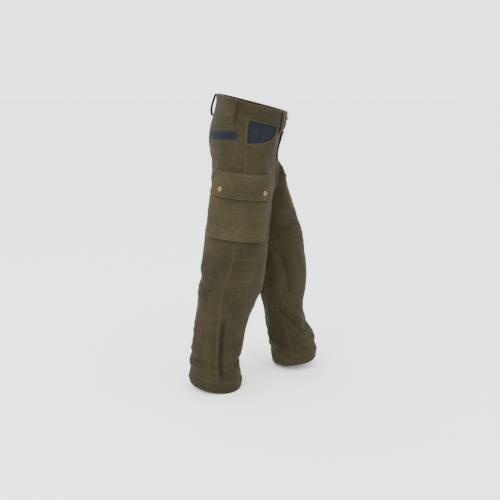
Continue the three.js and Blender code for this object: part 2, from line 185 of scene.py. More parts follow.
@dataclass(frozen=True)
class Fold:
    """One fold or hollow of worn cloth, along a line on the leg.

    start and end are (place round the leg, height); width and rise are in millimetres, and a hollow's rise is
    negative.
    """

    start: tuple[float, float]
    end: tuple[float, float]
    width: float
    rise: float

    def relief(self, u: Array, z: Array) -> Array:
        """How far the fold lifts the cloth at each place.

        Args:
            u: Places round the leg, from 0 to 1.
            z: Heights in millimetres.

        Returns:
            The rise in millimetres.
        """
        a = np.array([self.start[0] * GIRTH, self.start[1]])
        d = np.array([self.end[0] * GIRTH, self.end[1]]) - a
        length = float(np.hypot(*d))
        best = np.zeros_like(u)
        for turn in (-1, 0, 1):  # a fold near the inseam shows on both sides of it
            x, y = (u + turn) * GIRTH - a[0], z - a[1]
            along = (x * d[0] + y * d[1]) / length**2
            across = (x * d[1] - y * d[0]) / length
            fade = smooth(along / 0.3 + 0.5) * smooth((1 - along) / 0.3 + 0.5)
            wander = across + 0.18 * self.width * np.sin(along * 7 + self.rise)
            best = best + self.rise * np.exp(-((wander / self.width) ** 2)) * fade
        return best


class Creases:
    """Repeatable soft noise over the cloth, for the small creases between the folds."""

    def __init__(self, seed: int) -> None:
        """Draw the lattice once from a seed."""
        self.lattice = np.random.default_rng(seed).uniform(-1, 1, (64, 64))

    def noise(self, x: Array, y: Array) -> Array:
        """Smooth value noise with a period of 64 cells.

        Args:
            x: Positions along the lattice, in cells.
            y: Positions across the lattice, in cells.

        Returns:
            Values from -1 to 1.
        """
        i, j = np.floor(x).astype(int), np.floor(y).astype(int)
        fx, fy = smooth(x - i), smooth(y - j)
        corner = lambda a, b: self.lattice[(i + a) % 64, (j + b) % 64]
        low = corner(0, 0) * (1 - fx) + corner(1, 0) * fx
        high = corner(0, 1) * (1 - fx) + corner(1, 1) * fx
        return low * (1 - fy) + high * fy

    def ridged(self, x: Array, y: Array) -> Array:
        """Noise with rounded ridges and sharper valleys, as cloth that buckles has."""
        return 1 - 2 * np.abs(self.noise(x, y)) ** 0.8


@dataclass
class Leg:
    """The surface of one half of the garment: half the waist and seat, and the leg below."""

    side: Side
    hip: float
    knee: float
    along: Array
    folds: Sequence[Fold]
    creases: Creases
    knee_axis: Array = field(default_factory=lambda: HIP - np.array([0.0, 0.0, THIGH]))

    def flat(self, u: Array, z: Array) -> Array:
        """The hanging cloth, before the stance.

        Args:
            u: Places round the leg: 0 at the inseam or front, 0.5 at the side and 1 at the back.
            z: Heights in millimetres.

        Returns:
            Points of the smooth cloth.
        """
        outer, inner = through(ACROSS, z, 1), through(ACROSS, z, 2)
        front, back = through(self.along, z, 1), through(self.along, z, 2)
        centre, half = (outer + inner) / 2, (outer - inner) / 2
        start = np.arccos(np.clip((centre - SEAM) / half, -1, 1))
        drift = through(DRIFT, z, 1) * smooth(1 - np.abs(u - 0.5) / DRIFT_REACH)
        angle = start + (u - drift) * 2 * (math.pi - start)
        y = centre - half * np.cos(angle)
        x = (front + back) / 2 + (front - back) / 2 * np.sin(angle)
        return np.stack([x, self.side.value * y, z], -1)

    def in_stance(self, points: Array) -> Array:
        """Turn the hanging cloth at the knee and the hip, little by little over their soft bands.

        Args:
            points: Points of the hanging cloth.

        Returns:
            The same points in the walking stance.
        """
        y, z = np.abs(points[..., 1]), points[..., 2]
        knee = smooth((KNEE_TOP - z) / (KNEE_TOP - KNEE_BOTTOM))
        top = CROTCH + HIP_RISE[0] * smooth(y / HIP_RISE[1])
        hip = smooth((top - z) / HIP_BAND)
        return swing(swing(points, self.knee_axis, -self.knee * knee), HIP, self.hip * hip)

    def relief(self, u: Array, z: Array) -> Array:
        """Folds and creases together: how far the cloth stands off its section.

        Args:
            u: Places round the leg, from 0 to 1.
            z: Heights in millimetres.

        Returns:
            The rise in millimetres.
        """
        lift = np.zeros_like(u)
        for fold in self.folds:
            lift += fold.relief(u, z)
        x, y = u * GIRTH, z
        band = smooth((-(z + 95)) / 60)
        low = smooth((-(z + 760)) / 90)
        # Both edges of the inseam lie on the same line, so the creases fade out there.
        loose = smooth(np.minimum(u, 1 - u) * GIRTH / LOOSE_FROM)
        shift = 14 * self.creases.noise(x / 90, y / 90)
        broad = 3.0 * self.creases.noise(x / 75 + 9, (y + shift) / 120)
        slack = (1.25 + 1.3 * low) * self.creases.ridged((x + 0.5 * y) / 62 + 3, (y + shift) / 34 + 5)
        fine = 0.5 * self.creases.noise(x / 17, y / 12 + 20)
        flat = 0.35 + 0.65 * np.abs(np.sin(math.pi * 2 * u)) ** 0.35
        ridge = 0.8 * smooth(1.6 - np.abs(u - 0.5) * GIRTH / FELL)
        knee = sum(np.exp(-(((z - line) / GROOVE) ** 2)) for line in KNEE_LINES)
        grooves = -1.3 * knee * smooth((0.49 - u) / 0.02) * smooth(u / 0.03)
        side = np.exp(-((np.abs(u - 0.5) * GIRTH / PUCKER_REACH) ** 2))
        beside = side + np.exp(-((np.minimum(u, 1 - u) * GIRTH / PUCKER_REACH) ** 2))
        fly = smooth((-(z + 90)) / 38) * smooth((z + 300) / 45)
        placket = fly * np.exp(-((np.maximum(u * GIRTH - 10, 0) / FLY_REACH) ** 2))
        pucker = 0.45 * np.sin(z * 0.74 + 3 * self.creases.noise(z / 26, np.abs(u - 0.5) * 9)) * beside * band
        worn = broad + slack * flat + fine
        return lift + band * loose * worn + ridge + grooves + pucker - FLY_RECESS * placket

    def cloth(self, u: Array, z: Array, off: Array | float = 0.0) -> Array:
        """Points of the worn cloth, with its folds and in its stance.

        Args:
            u: Places round the leg, from 0 to 1.
            z: Heights in millimetres.
            off: Distance outwards from the inner face, in millimetres.

        Returns:
            The points.
        """
        step_u, step_z = 0.002, 2.0
        at = lambda du, dz: self.in_stance(self.flat(u + du, z + dz))
        here = at(0, 0)
        round_ = at(step_u, 0) - at(-step_u, 0)
        up = at(0, step_z) - at(0, -step_z)
        normal = np.cross(round_, up) * self.side.value
        normal /= np.linalg.norm(normal, axis=-1, keepdims=True)
        points = here + normal * (self.relief(u, z) + off)[..., None]
        own = np.maximum(points[..., 1] * self.side.value, MIDDLE)
        joined = (z > CROTCH + 4) & (np.minimum(u, 1 - u) < 1.5 * EDGE)  # the two halves meet in the middle
        points[..., 1] = self.side.value * np.where(joined, MIDDLE, own)
        return points


# ---- Places on the garment ----
FRONT = (EDGE, 0.5)
BACK = (0.5, 1 - EDGE)


@dataclass
class Waistline:
    """The sloping edges at the waist, as heights at places round the leg."""

    leg: Leg

    def top(self, u: Array) -> Array:
        """The upper edge of the waistband."""
        u = np.asarray(u, float)
        return WAIST_LEVEL - WAIST_TILT * self.leg.flat(u, np.zeros_like(u))[..., 0]

    def below(self, drop: float) -> Callable[[Array], Array]:
        """An edge a given distance below the upper one."""
        return lambda u: self.top(u) - drop


# ---- Meshes ----
def mesh_object(name: str, points: Array, faces: Sequence[Sequence[int]],
                uvs: Array | None = None) -> bpy.types.Object:
    """Make a smooth-shaded object from points in millimetres.

    Args:
        name: The piece's name.
        points: One row for each vertex.
        faces: Vertex indices of each face.
        uvs: Cloth lengths in metres for each vertex, for the weave.

    Returns:
        The linked object.
    """
    mesh = bpy.data.meshes.new(name)
    mesh.from_pydata((points * MM).tolist(), [], [list(f) for f in faces])
    mesh.validate()
    mesh.polygons.foreach_set("use_smooth", [True] * len(mesh.polygons))
    if uvs is not None:
        layer = mesh.uv_layers.new(name="weave")
        index = np.empty(len(mesh.loops), int)
        mesh.loops.foreach_get("vertex_index", index)
        layer.data.foreach_set("uv", uvs[index].astype(np.float32).ravel())
    piece = bpy.data.objects.new(name, mesh)
    bpy.context.scene.collection.objects.link(piece)
    return piece


def shell(name: str, outer: Array, inner: Array, uv: Array, keep: Array | None = None) -> bpy.types.Object:
    """Close two grids of the same size into one thin body.

    Args:
        name: The piece's name.
        outer: The outer face, rows by columns by 3.
        inner: The inner face, the same size.
        uv: Cloth lengths, rows by columns by 2.
        keep: Which cells are cloth, rows - 1 by columns - 1; all of them if it is left out.

    Returns:
        The linked object.
    """
    rows, columns = outer.shape[:2]
    keep = np.ones((rows - 1, columns - 1), bool) if keep is None else keep
    size = rows * columns
    j, i = np.nonzero(keep)
    a = j * columns + i
    quads = np.stack([a, a + 1, a + columns + 1, a + columns], 1)
    faces = [quads, quads[:, ::-1] + size]
    padded = np.pad(keep, 1)
    sides = ((-1, 0, 0, 1), (1, 0, columns + 1, columns), (0, -1, columns, 0), (0, 1, 1, columns + 1))
    for dj, di, p, q in sides:
        edge = keep & ~padded[1 + dj:padded.shape[0] - 1 + dj, 1 + di:padded.shape[1] - 1 + di]
        j, i = np.nonzero(edge)
        a = j * columns + i
        faces.append(np.stack([a + q, a + p, a + p + size, a + q + size], 1))
    faces = np.concatenate(faces)
    used = np.unique(faces)
    remap = np.full(2 * size, -1)
    remap[used] = np.arange(len(used))
    points = np.concatenate([outer.reshape(-1, 3), inner.reshape(-1, 3)])[used]
    uvs = np.concatenate([uv.reshape(-1, 2)] * 2)[used]
    faces = remap[faces]
    p = points[faces]
    volume = sum(np.einsum("ij,ij->i", p[:, 0], np.cross(p[:, k], p[:, k + 1])).sum() for k in (1, 2))
    return mesh_object(name, points, (faces if volume > 0 else faces[:, ::-1]).tolist(), uvs)


@dataclass
class Panel:
    """A piece of cloth cut between two places round a leg and two edges."""

    leg: Leg
    place: tuple[float, float]
    top: Height
    bottom: Height
    lift: float = 0.0
    thickness: float = CLOTH
    step: float = 3.2
    swell: Callable[[Array, Array, Array, Array], Array] | None = None
    cut: Callable[[Array, Array], Array] | None = None
    follow: float = 1.0
    rim: float = 0.6

    def grid(self) -> tuple[Array, Array, Array, Array]:
        """Places, heights, and shares across and down, on a grid of about the step's size.

        Returns:
            Places, heights, and the shares across and down.
        """
        probe = np.linspace(*self.place, 9)
        drop = float(np.max(height_at(self.top, probe) - height_at(self.bottom, probe)))
        columns = max(4, int(abs(self.place[1] - self.place[0]) * GIRTH / self.step)) + 1
        rows = max(4, int(drop / self.step)) + 1
        s, t = np.meshgrid(np.linspace(0, 1, columns), np.linspace(0, 1, rows))
        u = self.place[0] + (self.place[1] - self.place[0]) * s
        high, low = height_at(self.top, u), height_at(self.bottom, u)
        return u, high + (low - high) * t, s, t

    def cut_size(self) -> tuple[tuple[float, float], float]:
        """The width, length and area in metres that the panel was cut to, measured on the smooth garment.

        Returns:
            The width and length, then the area.
        """
        u, z, _, _ = self.grid()
        keep = np.ones((u.shape[0] - 1, u.shape[1] - 1), bool)
        if self.cut is not None:
            u, z, keep = snapped(u, z, self.cut)
        points = self.leg.flat(u, z) * MM
        spans = [np.linalg.norm(np.diff(points, axis=axis), axis=2).sum(axis).max() for axis in (1, 0)]
        return (float(spans[0]), float(spans[1])), float((area_of(points) * keep).sum())

    def build(self, name: str) -> bpy.types.Object:
        """Make the panel as one closed thin body.

        Args:
            name: The piece's name.

        Returns:
            The linked object.
        """
        u, z, s, t = self.grid()
        keep = None
        if self.cut is not None:
            u, z, keep = snapped(u, z, self.cut)
        swell = self.swell(s, t, u, z) if self.swell else np.zeros_like(u)
        columns, rows = u.shape[1] - 1, u.shape[0] - 1
        near = np.minimum.reduce([s * columns, (1 - s) * columns, t * rows, (1 - t) * rows])
        turned = -self.rim * (1 - np.clip(near / 1.0, 0, 1))
        outer = self.leg.cloth(u, z, self.lift + self.thickness + swell + turned)
        inner = self.leg.cloth(u, z, self.lift + np.maximum(swell, 0) * self.follow)
        uv = np.stack([u * GIRTH, z], -1) * MM
        return shell(name, outer, inner, uv, keep)


def area_of(points: Array) -> Array:
    """The area of each cell of a grid of points."""
    a, b = points[1:, 1:] - points[:-1, :-1], points[1:, :-1] - points[:-1, 1:]
    return np.linalg.norm(np.cross(a, b), axis=-1) / 2


def snapped(u: Array, z: Array, inside: Callable[[Array, Array], Array]) -> tuple[Array, Array, Array]:
    """Cut a shape out of a grid and draw the grid's nearest points onto the cut's edge.

    Args:
        u: Places round the leg.
        z: Heights.
        inside: A signed distance in millimetres, negative inside the shape that is cut out.

    Returns:
        The moved places and heights, and which cells remain.
    """
    for _ in range(3):
        far = inside(u, z)
        du = (inside(u + 1 / GIRTH, z) - inside(u - 1 / GIRTH, z)) / 2
        dz = (inside(u, z + 1) - inside(u, z - 1)) / 2
        size = np.maximum(du**2 + dz**2, 1e-6)
        near = np.abs(far) < 1.9
        u = np.where(near, u - far * du / size / GIRTH, u)
        z = np.where(near, z - far * dz / size, z)
    far = inside(u, z)
    corners = np.stack([far[:-1, :-1], far[1:, :-1], far[:-1, 1:], far[1:, 1:]])
    return u, z, corners.min(0) > -0.4


def thread(leg: Leg, path: Sequence[tuple[float, float]], off: Array | float, closed: bool = False,
           pitch: float = 4.4) -> tuple[Array, Array, Array]:
    """Stitches along a path on the cloth, as centres, directions and normals.

    Args:
        leg: The leg the path lies on.
        path: Corners as (place, height).
        off: Distance outwards of the cloth that is sewn, or a function of place and height.
        closed: Whether the path returns to its start.
        pitch: Millimetres from stitch to stitch.

    Returns:
        Centres, unit directions and unit normals, one row each.
    """
    corners = np.array([*path, path[0]] if closed else path, float)
    nominal = np.hypot(np.diff(corners[:, 0]) * GIRTH, np.diff(corners[:, 1]))
    fine = np.linspace(0, len(corners) - 1, max(8, int(nominal.sum() / 2)))
    knots = np.stack([np.interp(fine, np.arange(len(corners)), corners[:, c]) for c in (0, 1)], -1)
    points = leg.flat(knots[:, 0], knots[:, 1])
    total = np.concatenate([[0], np.cumsum(np.linalg.norm(np.diff(points, axis=0), axis=1))])
    steps = np.arange(pitch / 2, total[-1], pitch)
    ends = [np.stack([np.interp(steps + d, total, knots[:, c]) for c in (0, 1)], -1) for d in (-1.2, 1.2)]
    lift = lambda p: off(p[:, 0], p[:, 1]) if callable(off) else np.full(len(p), float(off))
    a, b = (leg.cloth(p[:, 0], p[:, 1], lift(p)) for p in ends)
    middle = (ends[0] + ends[1]) / 2
    out = leg.cloth(middle[:, 0], middle[:, 1], lift(middle) + 1.0)
    along = b - a
    along /= np.linalg.norm(along, axis=1, keepdims=True)
    normal = out - (a + b) / 2
    normal /= np.linalg.norm(normal, axis=1, keepdims=True)
    return (a + b) / 2, along, normal


def stitches(name: str, rows: Sequence[tuple[Array, Array, Array]], long: float = 3.0, wide: float = 1.05,
             high: float = 0.55) -> bpy.types.Object:
    """Make rows of stitches as one piece, each stitch a short spindle of thread lying on the cloth.

    Args:
        name: The piece's name.
        rows: For each row, its points with the directions along it and out of the cloth.
        long: Length of a stitch, in millimetres.
        wide: Width of a stitch.
        high: How far a stitch stands off the cloth.

    Returns:
        The linked object.
    """
    centre, along, normal = (np.concatenate([row[i] for row in rows]) for i in range(3))
    across = np.cross(along, normal)
    corners = [
        centre - along * long / 2 - normal * 0.15, centre + across * wide / 2 - normal * 0.1,
        centre + along * long / 2 - normal * 0.15, centre - across * wide / 2 - normal * 0.1,
        centre + normal * high, centre - normal * 0.3,
    ]
    points = np.stack(corners, 1).reshape(-1, 3)
    one = [(0, 1, 4), (1, 2, 4), (2, 3, 4), (3, 0, 4), (1, 0, 5), (2, 1, 5), (3, 2, 5), (0, 3, 5)]
    faces = (np.arange(len(centre))[:, None, None] * 6 + np.array(one)[None]).reshape(-1, 3)
    return mesh_object(name, points, faces.tolist())


def turned(name: str, profile: Sequence[tuple[float, float]], centre: Array, normal: Array,
           segments: int = 40) -> bpy.types.Object:
    """Turn a profile of (radius, height) pairs about a normal.

    Args:
        name: The piece's name.
        profile: Pairs in millimetres, from the axis and back to it.
        centre: Where the axis meets the cloth.
        normal: The axis's direction.
        segments: Points round.

    Returns:
        The linked object.
    """
    axis = Vector(normal).normalized()
    basis = axis.to_track_quat("Z", "Y").to_matrix()
    ring = np.linspace(0, 2 * math.pi, segments, endpoint=False)
    points, faces = [], []
    for radius, rise in profile:
        points += [[radius * math.cos(a), radius * math.sin(a), rise] for a in ring]
    for k in range(len(profile) - 1):
        for n in range(segments):
            m = (n + 1) % segments
            faces.append([k * segments + n, k * segments + m, (k + 1) * segments + m, (k + 1) * segments + n])
    placed = np.array(points) @ np.array(basis).T + centre
    piece = mesh_object(name, placed, faces)
    weld = piece.modifiers.new("Weld", "WELD")
    weld.merge_threshold = 0.00002
    return piece


# ---- Finishes ----
def linear(hex_colour: str) -> tuple[float, float, float, float]:
    """Turn an sRGB hex colour into linear light."""
    parts = [int(hex_colour[i:i + 2], 16) / 255 for i in (1, 3, 5)]
    return (*[p / 12.92 if p <= 0.04045 else ((p + 0.055) / 1.055) ** 2.4 for p in parts], 1.0)


def add(tree: bpy.types.NodeTree, kind: str, settings: dict | None = None,
        links: dict | None = None) -> bpy.types.Node:
    """Add a node, set its values and properties, and link its inputs.

    Args:
        tree: The material's tree.
        kind: The node's type name.
        settings: Input or property names with their values.
        links: Input names or numbers with the sockets that feed them.

    Returns:
        The node.
    """
    made = tree.nodes.new(kind)
    for key, value in (settings or {}).items():
        if isinstance(key, int) or key in made.inputs:
            made.inputs[key].default_value = value
        else:
            setattr(made, key, value)
    for key, socket in (links or {}).items():
        tree.links.new(socket, made.inputs[key])
    return made


def start_material(name: str) -> tuple[bpy.types.Material, bpy.types.NodeTree, bpy.types.Node]:
    """Make an empty material with its shader and output.

    Args:
        name: The material's name.

    Returns:
        The material, its tree and its shader.
    """
    material = bpy.data.materials.new(name)
    material.use_nodes = True
    tree = material.node_tree
    tree.nodes.clear()
    shader = add(tree, "ShaderNodeBsdfPrincipled")
    add(tree, "ShaderNodeOutputMaterial", links={"Surface": shader.outputs["BSDF"]})
    return material, tree, shader


SHEEN_SPREAD = 0.5
MATT_SPECULAR = 0.04  # loose yarns scatter light, so the cloth shows almost no gloss
WAVE = 1000 * math.pi / 10  # a wave texture's scale for one wave each millimetre


@dataclass(frozen=True)
class WovenCloth:
    """Cotton and polyester twill, dyed in the piece: a diagonal rib, worn paler where it rubs."""

    name: str
    base: str
    worn: str
    deep: str
    rib_mm: float = 2.4  # a real rib is a third as wide, which is too fine to show
    roughness: float = 0.94
    sheen: float = 0.04
    bump_mm: float = 0.28

    def material(self) -> bpy.types.Material:
        """Build the twill: rib and yarn bump, cloudy dye, and wear on what stands proud.

        Returns:
            The material.
        """
        material, tree, shader = start_material(self.name)
        uv = add(tree, "ShaderNodeUVMap", {"uv_map": "weave"}).outputs["UV"]
        place = add(tree, "ShaderNodeTexCoord").outputs["Object"]
        rib = add(tree, "ShaderNodeMapping", {"Rotation": (0, 0, math.radians(58))},
                  {"Vector": uv}).outputs[0]
        wave = add(tree, "ShaderNodeTexWave", {"Scale": WAVE / self.rib_mm, "Distortion": 1.2,
                                              "Detail": 1.0, "Detail Scale": 2.0}, {"Vector": rib})
        yarn = add(tree, "ShaderNodeTexNoise", {"Scale": 900.0, "Detail": 2.0}, {"Vector": uv})
        cloud = add(tree, "ShaderNodeTexNoise", {"Scale": 7.0, "Detail": 5.0, "Roughness": 0.6},
                    {"Vector": place})
        rub = add(tree, "ShaderNodeTexNoise", {"Scale": 42.0, "Detail": 6.0, "Roughness": 0.7},
                  {"Vector": place})
        proud = add(tree, "ShaderNodeNewGeometry").outputs["Pointiness"]
        edge = add(tree, "ShaderNodeMapRange", {"From Min": 0.51, "From Max": 0.6, "To Max": 0.8},
                   {"Value": proud})
        tone = add(tree, "ShaderNodeMapRange", {"From Min": 0.35, "From Max": 0.7},
                   {"Value": cloud.outputs[0]})
        colour = add(tree, "ShaderNodeMix", {"data_type": "RGBA", 6: linear(self.deep), 7: linear(self.base)},
                     {0: tone.outputs[0]})
        wear = add(tree, "ShaderNodeMath", {"operation": "MULTIPLY"}, {0: edge.outputs[0], 1: rub.outputs[0]})
        worn = add(tree, "ShaderNodeMix", {"data_type": "RGBA", 7: linear(self.worn)},
                   {0: wear.outputs[0], 6: colour.outputs[2]})
        heather = add(tree, "ShaderNodeTexNoise", {"Scale": 190.0, "Detail": 3.0, "Roughness": 0.7},
                      {"Vector": place})
        mottle = add(tree, "ShaderNodeMapRange",
                     {"From Min": 0.36, "From Max": 0.64, "To Min": 0.78, "To Max": 1.2},
                     {"Value": heather.outputs[0]})
        rib_tone = add(tree, "ShaderNodeMapRange", {"To Min": 0.88, "To Max": 1.07},
                       {"Value": wave.outputs[1]})
        fleck = add(tree, "ShaderNodeMath", {"operation": "MULTIPLY"},
                    {0: rib_tone.outputs[0], 1: mottle.outputs[0]})
        grey = add(tree, "ShaderNodeCombineColor", {}, {i: fleck.outputs[0] for i in range(3)})
        final = add(tree, "ShaderNodeMix", {"data_type": "RGBA", "blend_type": "MULTIPLY", 0: 1.0},
                    {6: worn.outputs[2], 7: grey.outputs[0]})
        tree.links.new(final.outputs[2], shader.inputs["Base Color"])
        height = add(tree, "ShaderNodeMath", {"operation": "MULTIPLY_ADD", 1: 0.45},
                     {0: yarn.outputs[0], 2: wave.outputs[1]})
        bump = add(tree, "ShaderNodeBump", {"Strength": 0.55, "Distance": self.bump_mm * MM},
                   {"Height": height.outputs[0]})
        tree.links.new(bump.outputs[0], shader.inputs["Normal"])
        shader.inputs["Roughness"].default_value = self.roughness
        shader.inputs["Sheen Weight"].default_value = self.sheen
        shader.inputs["Sheen Roughness"].default_value = SHEEN_SPREAD
        shader.inputs["Specular IOR Level"].default_value = MATT_SPECULAR
        return material


@dataclass(frozen=True)
class PlainFinish:
    """A finish of one colour, with fine unevenness in tone and surface."""

    name: str
    base: str
    dark: str
    roughness: float
    metallic: float = 0.0
    scale: float = 300.0
    bump_mm: float = 0.05
    sheen: float = 0.0

    def material(self) -> bpy.types.Material:
        """Build the finish from two tones of noise and a light bump.

        Returns:
            The material.
        """
        material, tree, shader = start_material(self.name)
        place = add(tree, "ShaderNodeTexCoord").outputs["Object"]
        noise = add(tree, "ShaderNodeTexNoise", {"Scale": self.scale, "Detail": 5.0, "Roughness": 0.65},
                    {"Vector": place})
        tone = add(tree, "ShaderNodeMapRange", {"From Min": 0.3, "From Max": 0.72},
                   {"Value": noise.outputs[0]})
        colour = add(tree, "ShaderNodeMix", {"data_type": "RGBA", 6: linear(self.dark), 7: linear(self.base)},
                     {0: tone.outputs[0]})
        tree.links.new(colour.outputs[2], shader.inputs["Base Color"])
        rough = add(tree, "ShaderNodeMapRange",
                    {"To Min": self.roughness - 0.08, "To Max": self.roughness + 0.1},
                    {"Value": noise.outputs[0]})
        tree.links.new(rough.outputs[0], shader.inputs["Roughness"])
        bump = add(tree, "ShaderNodeBump", {"Strength": 0.4, "Distance": self.bump_mm * MM},
                   {"Height": noise.outputs[0]})
        tree.links.new(bump.outputs[0], shader.inputs["Normal"])
        shader.inputs["Metallic"].default_value = self.metallic
        shader.inputs["Sheen Weight"].default_value = self.sheen
        return material


class Finish(Enum):
    """The garment's finishes, each with its slot in the record."""

    # Matt olive with a faint diagonal rib, clouded by washing and paler on what stands proud.
    CANVAS = ("canvas", WovenCloth("olive cotton twill, garment washed", "#312d1f", "#413c2a", "#252217"))
    # The same cloth a shade paler, as pockets are from handling.
    RUBBED = ("canvas", WovenCloth("olive cotton twill, rubbed pale", "#383424", "#4a4532", "#2c291b"))
    # Matt dark blue with the same rib, which sets the pockets off from the olive.
    NAVY = ("contrast_canvas",
            WovenCloth("navy cotton twill, garment washed", "#1c1e26", "#292b33", "#14161c"))
    # Duller and finer than the outer cloth, seen only inside and at the edges.
    LINING = ("lining", WovenCloth("pocketing, plain woven", "#312c20", "#3a3527", "#25211a", 1.1))
    # Tan and a little shinier than the cloth, so that the seams show as fine light lines.
    THREAD = ("canvas", PlainFinish("tan polyester thread, twisted", "#4e462a", "#3e3821", 0.7))
    # Near black, with a close rib and a low shine.
    WEBBING = ("webbing", WovenCloth("black nylon webbing, woven", "#0e0e10", "#1a1a1c", "#08080a", 1.8, 0.7))
    # Cream and fluffy, seen only inside the legs.
    PAD = ("cut_protection_pad",
           WovenCloth("cut-protection knit, long fibre", "#c8c19a", "#d8d2b0", "#b3ab85", 2.6))
    # Warm yellow metal, dulled by tumbling, with soft highlights.
    BRASS = ("brass", PlainFinish("brass, stamped and tumbled", "#8f7f54", "#4e4330", 0.36, 1.0, 120.0, 0.03))
    # Cool bright metal that stands out on the black zip.
    NICKEL = ("nickel", PlainFinish("zinc, die-cast and nickel plated", "#a9a8a4", "#7c7b77", 0.3, 1.0,
                                    160.0, 0.02))

    @property
    def slot(self) -> str:
        """The record's slot for this finish."""
        return self.value[0]


class Wardrobe:
    """Builds each finish once and dresses pieces in it."""

    def __init__(self) -> None:
        """Start with no finish built."""
        self.made: dict[Finish, bpy.types.Material] = {}

    def dress(self, piece: bpy.types.Object, finish: Finish) -> bpy.types.Object:
        """Give a piece its material.

        Args:
            piece: The object to dress.
            finish: What it is made of.

        Returns:
            The same object.
        """
        if finish not in self.made:
            self.made[finish] = finish.value[1].material()
        piece.data.materials.clear()
        piece.data.materials.append(self.made[finish])
        return piece

    def node(self, name: str, finish: Finish) -> None:
        """Give one of the frame's own nodes, which stays as it is, a finish.

        Args:
            name: The node's name.
            finish: What it is made of.
        """
        if finish not in self.made:
            self.made[finish] = finish.value[1].material()
        node = bpy.data.objects[name]
        for slot in node.material_slots:
            slot.material = self.made[finish]


# ---- How pieces follow the body ----
class Zone(Enum):
    """Where on the garment a piece lies, and so the body it rides on, if it lies on one."""

    PELVIS = 1
    HIP = 2
    THIGH = 3
    KNEE = 4
    SHIN = 5
    FLAP = 6


FLAP_TOP = -240.0
KNEE_BLEND = (78.0, 82.0)  # how far above and below the knee's axis the bend span reaches; no piece is bent by it
FLAP_BLEND = 26.0  # how much of the flap below its seam the bend span takes in; no piece is bent by it
HIP_MIDDLE = 100.0  # how far out the middle of one side of the hip is
HIP_BLEND = (CROTCH, 1.15, 90.0)  # height at the middle, rise per millimetre outwards, and depth


def follow(piece: bpy.types.Object, leg: Leg, zone: Zone) -> None:
    """Make a piece ride on its body; a piece that crosses two bodies has its bend span worked out but is only
    baked where it stands, and does not bend.

    Args:
        piece: The finished piece.
        leg: The leg it belongs to.
        zone: Where it lies.
    """
    word, sign = leg.side.word, leg.side.value
    if zone is Zone.PELVIS:
        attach(piece, "pelvis")
    elif zone is Zone.THIGH:
        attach(piece, f"thigh_{word}")
    elif zone is Zone.SHIN:
        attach(piece, f"shin_{word}")
    elif zone is Zone.HIP:
        low, rise, depth = HIP_BLEND
        start = np.array([HIP[0], sign * HIP_MIDDLE, low + rise * HIP_MIDDLE])
        k = depth / (1 + rise**2)
        end = start + k * np.array([0.0, sign * rise, -1.0])
        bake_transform(piece)
    elif zone is Zone.KNEE:
        knee = swing(leg.knee_axis, HIP, leg.hip)
        down = swing(HIP + np.array([0.0, 0.0, -1.0]), HIP, leg.hip - leg.knee / 2) - HIP
        start, end = knee - down * KNEE_BLEND[0], knee + down * KNEE_BLEND[1]
        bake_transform(piece)
    else:
        top = leg.in_stance(leg.flat(np.array(0.5), np.array(FLAP_TOP + 2)))
        down = swing(HIP + np.array([0.0, 0.0, -1.0]), HIP, leg.hip) - HIP
        end = top + down * FLAP_BLEND
        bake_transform(piece)


# ---- The workshop: what every finished piece goes through ----
class Workshop:
    """Dresses each piece, ties it to its body where it lies on one, and hides the frame's nodes it stands for.
    """

    def __init__(self) -> None:
        """Start with nothing made."""
        self.wardrobe = Wardrobe()

    def place(self, piece: bpy.types.Object, leg: Leg, zone: Zone, finish: Finish,
              *nodes: str) -> bpy.types.Object:
        """Finish a piece.

        Args:
            piece: The object, with its final mesh.
            leg: The leg it belongs to.
            zone: Where it lies.
            finish: What it is made of.
            nodes: The frame's nodes that it stands for.

        Returns:
            The same object.
        """
        self.wardrobe.dress(piece, finish)
        follow(piece, leg, zone)
        if nodes:
            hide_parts(*nodes)
        log.info("%s: %d faces", piece.name, len(piece.data.polygons))
        return piece

    def sheet(self, panel: Panel, name: str, zone: Zone, finish: Finish, *nodes: str,
              hangs_from: Sequence[str] = ()) -> bpy.types.Object:
        """Args:
            panel: The panel to build.
            name: The piece's name.
            zone: Where it lies.
            finish: What it is made of.
            nodes: The frame's nodes that it stands for.
            hangs_from: Names of the pieces that it hangs from; not used.

        Returns:
            The linked object.
        """
        piece = self.place(panel.build(name), panel.leg, zone, finish, *nodes)
        flat, area = panel.cut_size()
        log.info("%s: cut %.0f by %.0f mm, %.4f square metres", name, flat[0] / MM, flat[1] / MM, area)
        return piece

    def sew(self, name: str, leg: Leg, zone: Zone, paths: Sequence[Sequence[tuple[float, float]]],
            off: Callable[[Array, Array], Array] | float, finish: Finish = Finish.THREAD) -> None:
        """Lay rows of stitches along paths on the cloth."""
        rows = [thread(leg, path, off) for path in paths]
        self.place(stitches(name, rows), leg, zone, finish)


def rows_of(path: Callable[[float], list[tuple[float, float]]], offsets: Sequence[float]) -> list:
    """The same path at several distances to the side."""
    return [path(offset) for offset in offsets]


def upright(u: float, top: float, bottom: float) -> Callable[[float], list[tuple[float, float]]]:
    """A path down the cloth at a place round the leg, moved round by millimetres."""
    heights = np.linspace(top, bottom, 30)
    return lambda shift: [(u + shift / GIRTH, float(z)) for z in heights]


def level(z: Height, start: float, end: float) -> Callable[[float], list[tuple[float, float]]]:
    """A path round the cloth at a height, moved up by millimetres.

    Args:
        z: The height, level or as a function of place.
        start: Where it starts round the leg.
        end: Where it ends round the leg.

    Returns:
        The path as a function of the shift.
    """
    places = np.linspace(start, end, 40)
    heights = height_at(z, places)
    return lambda shift: [(float(u), float(h + shift)) for u, h in zip(places, heights)]


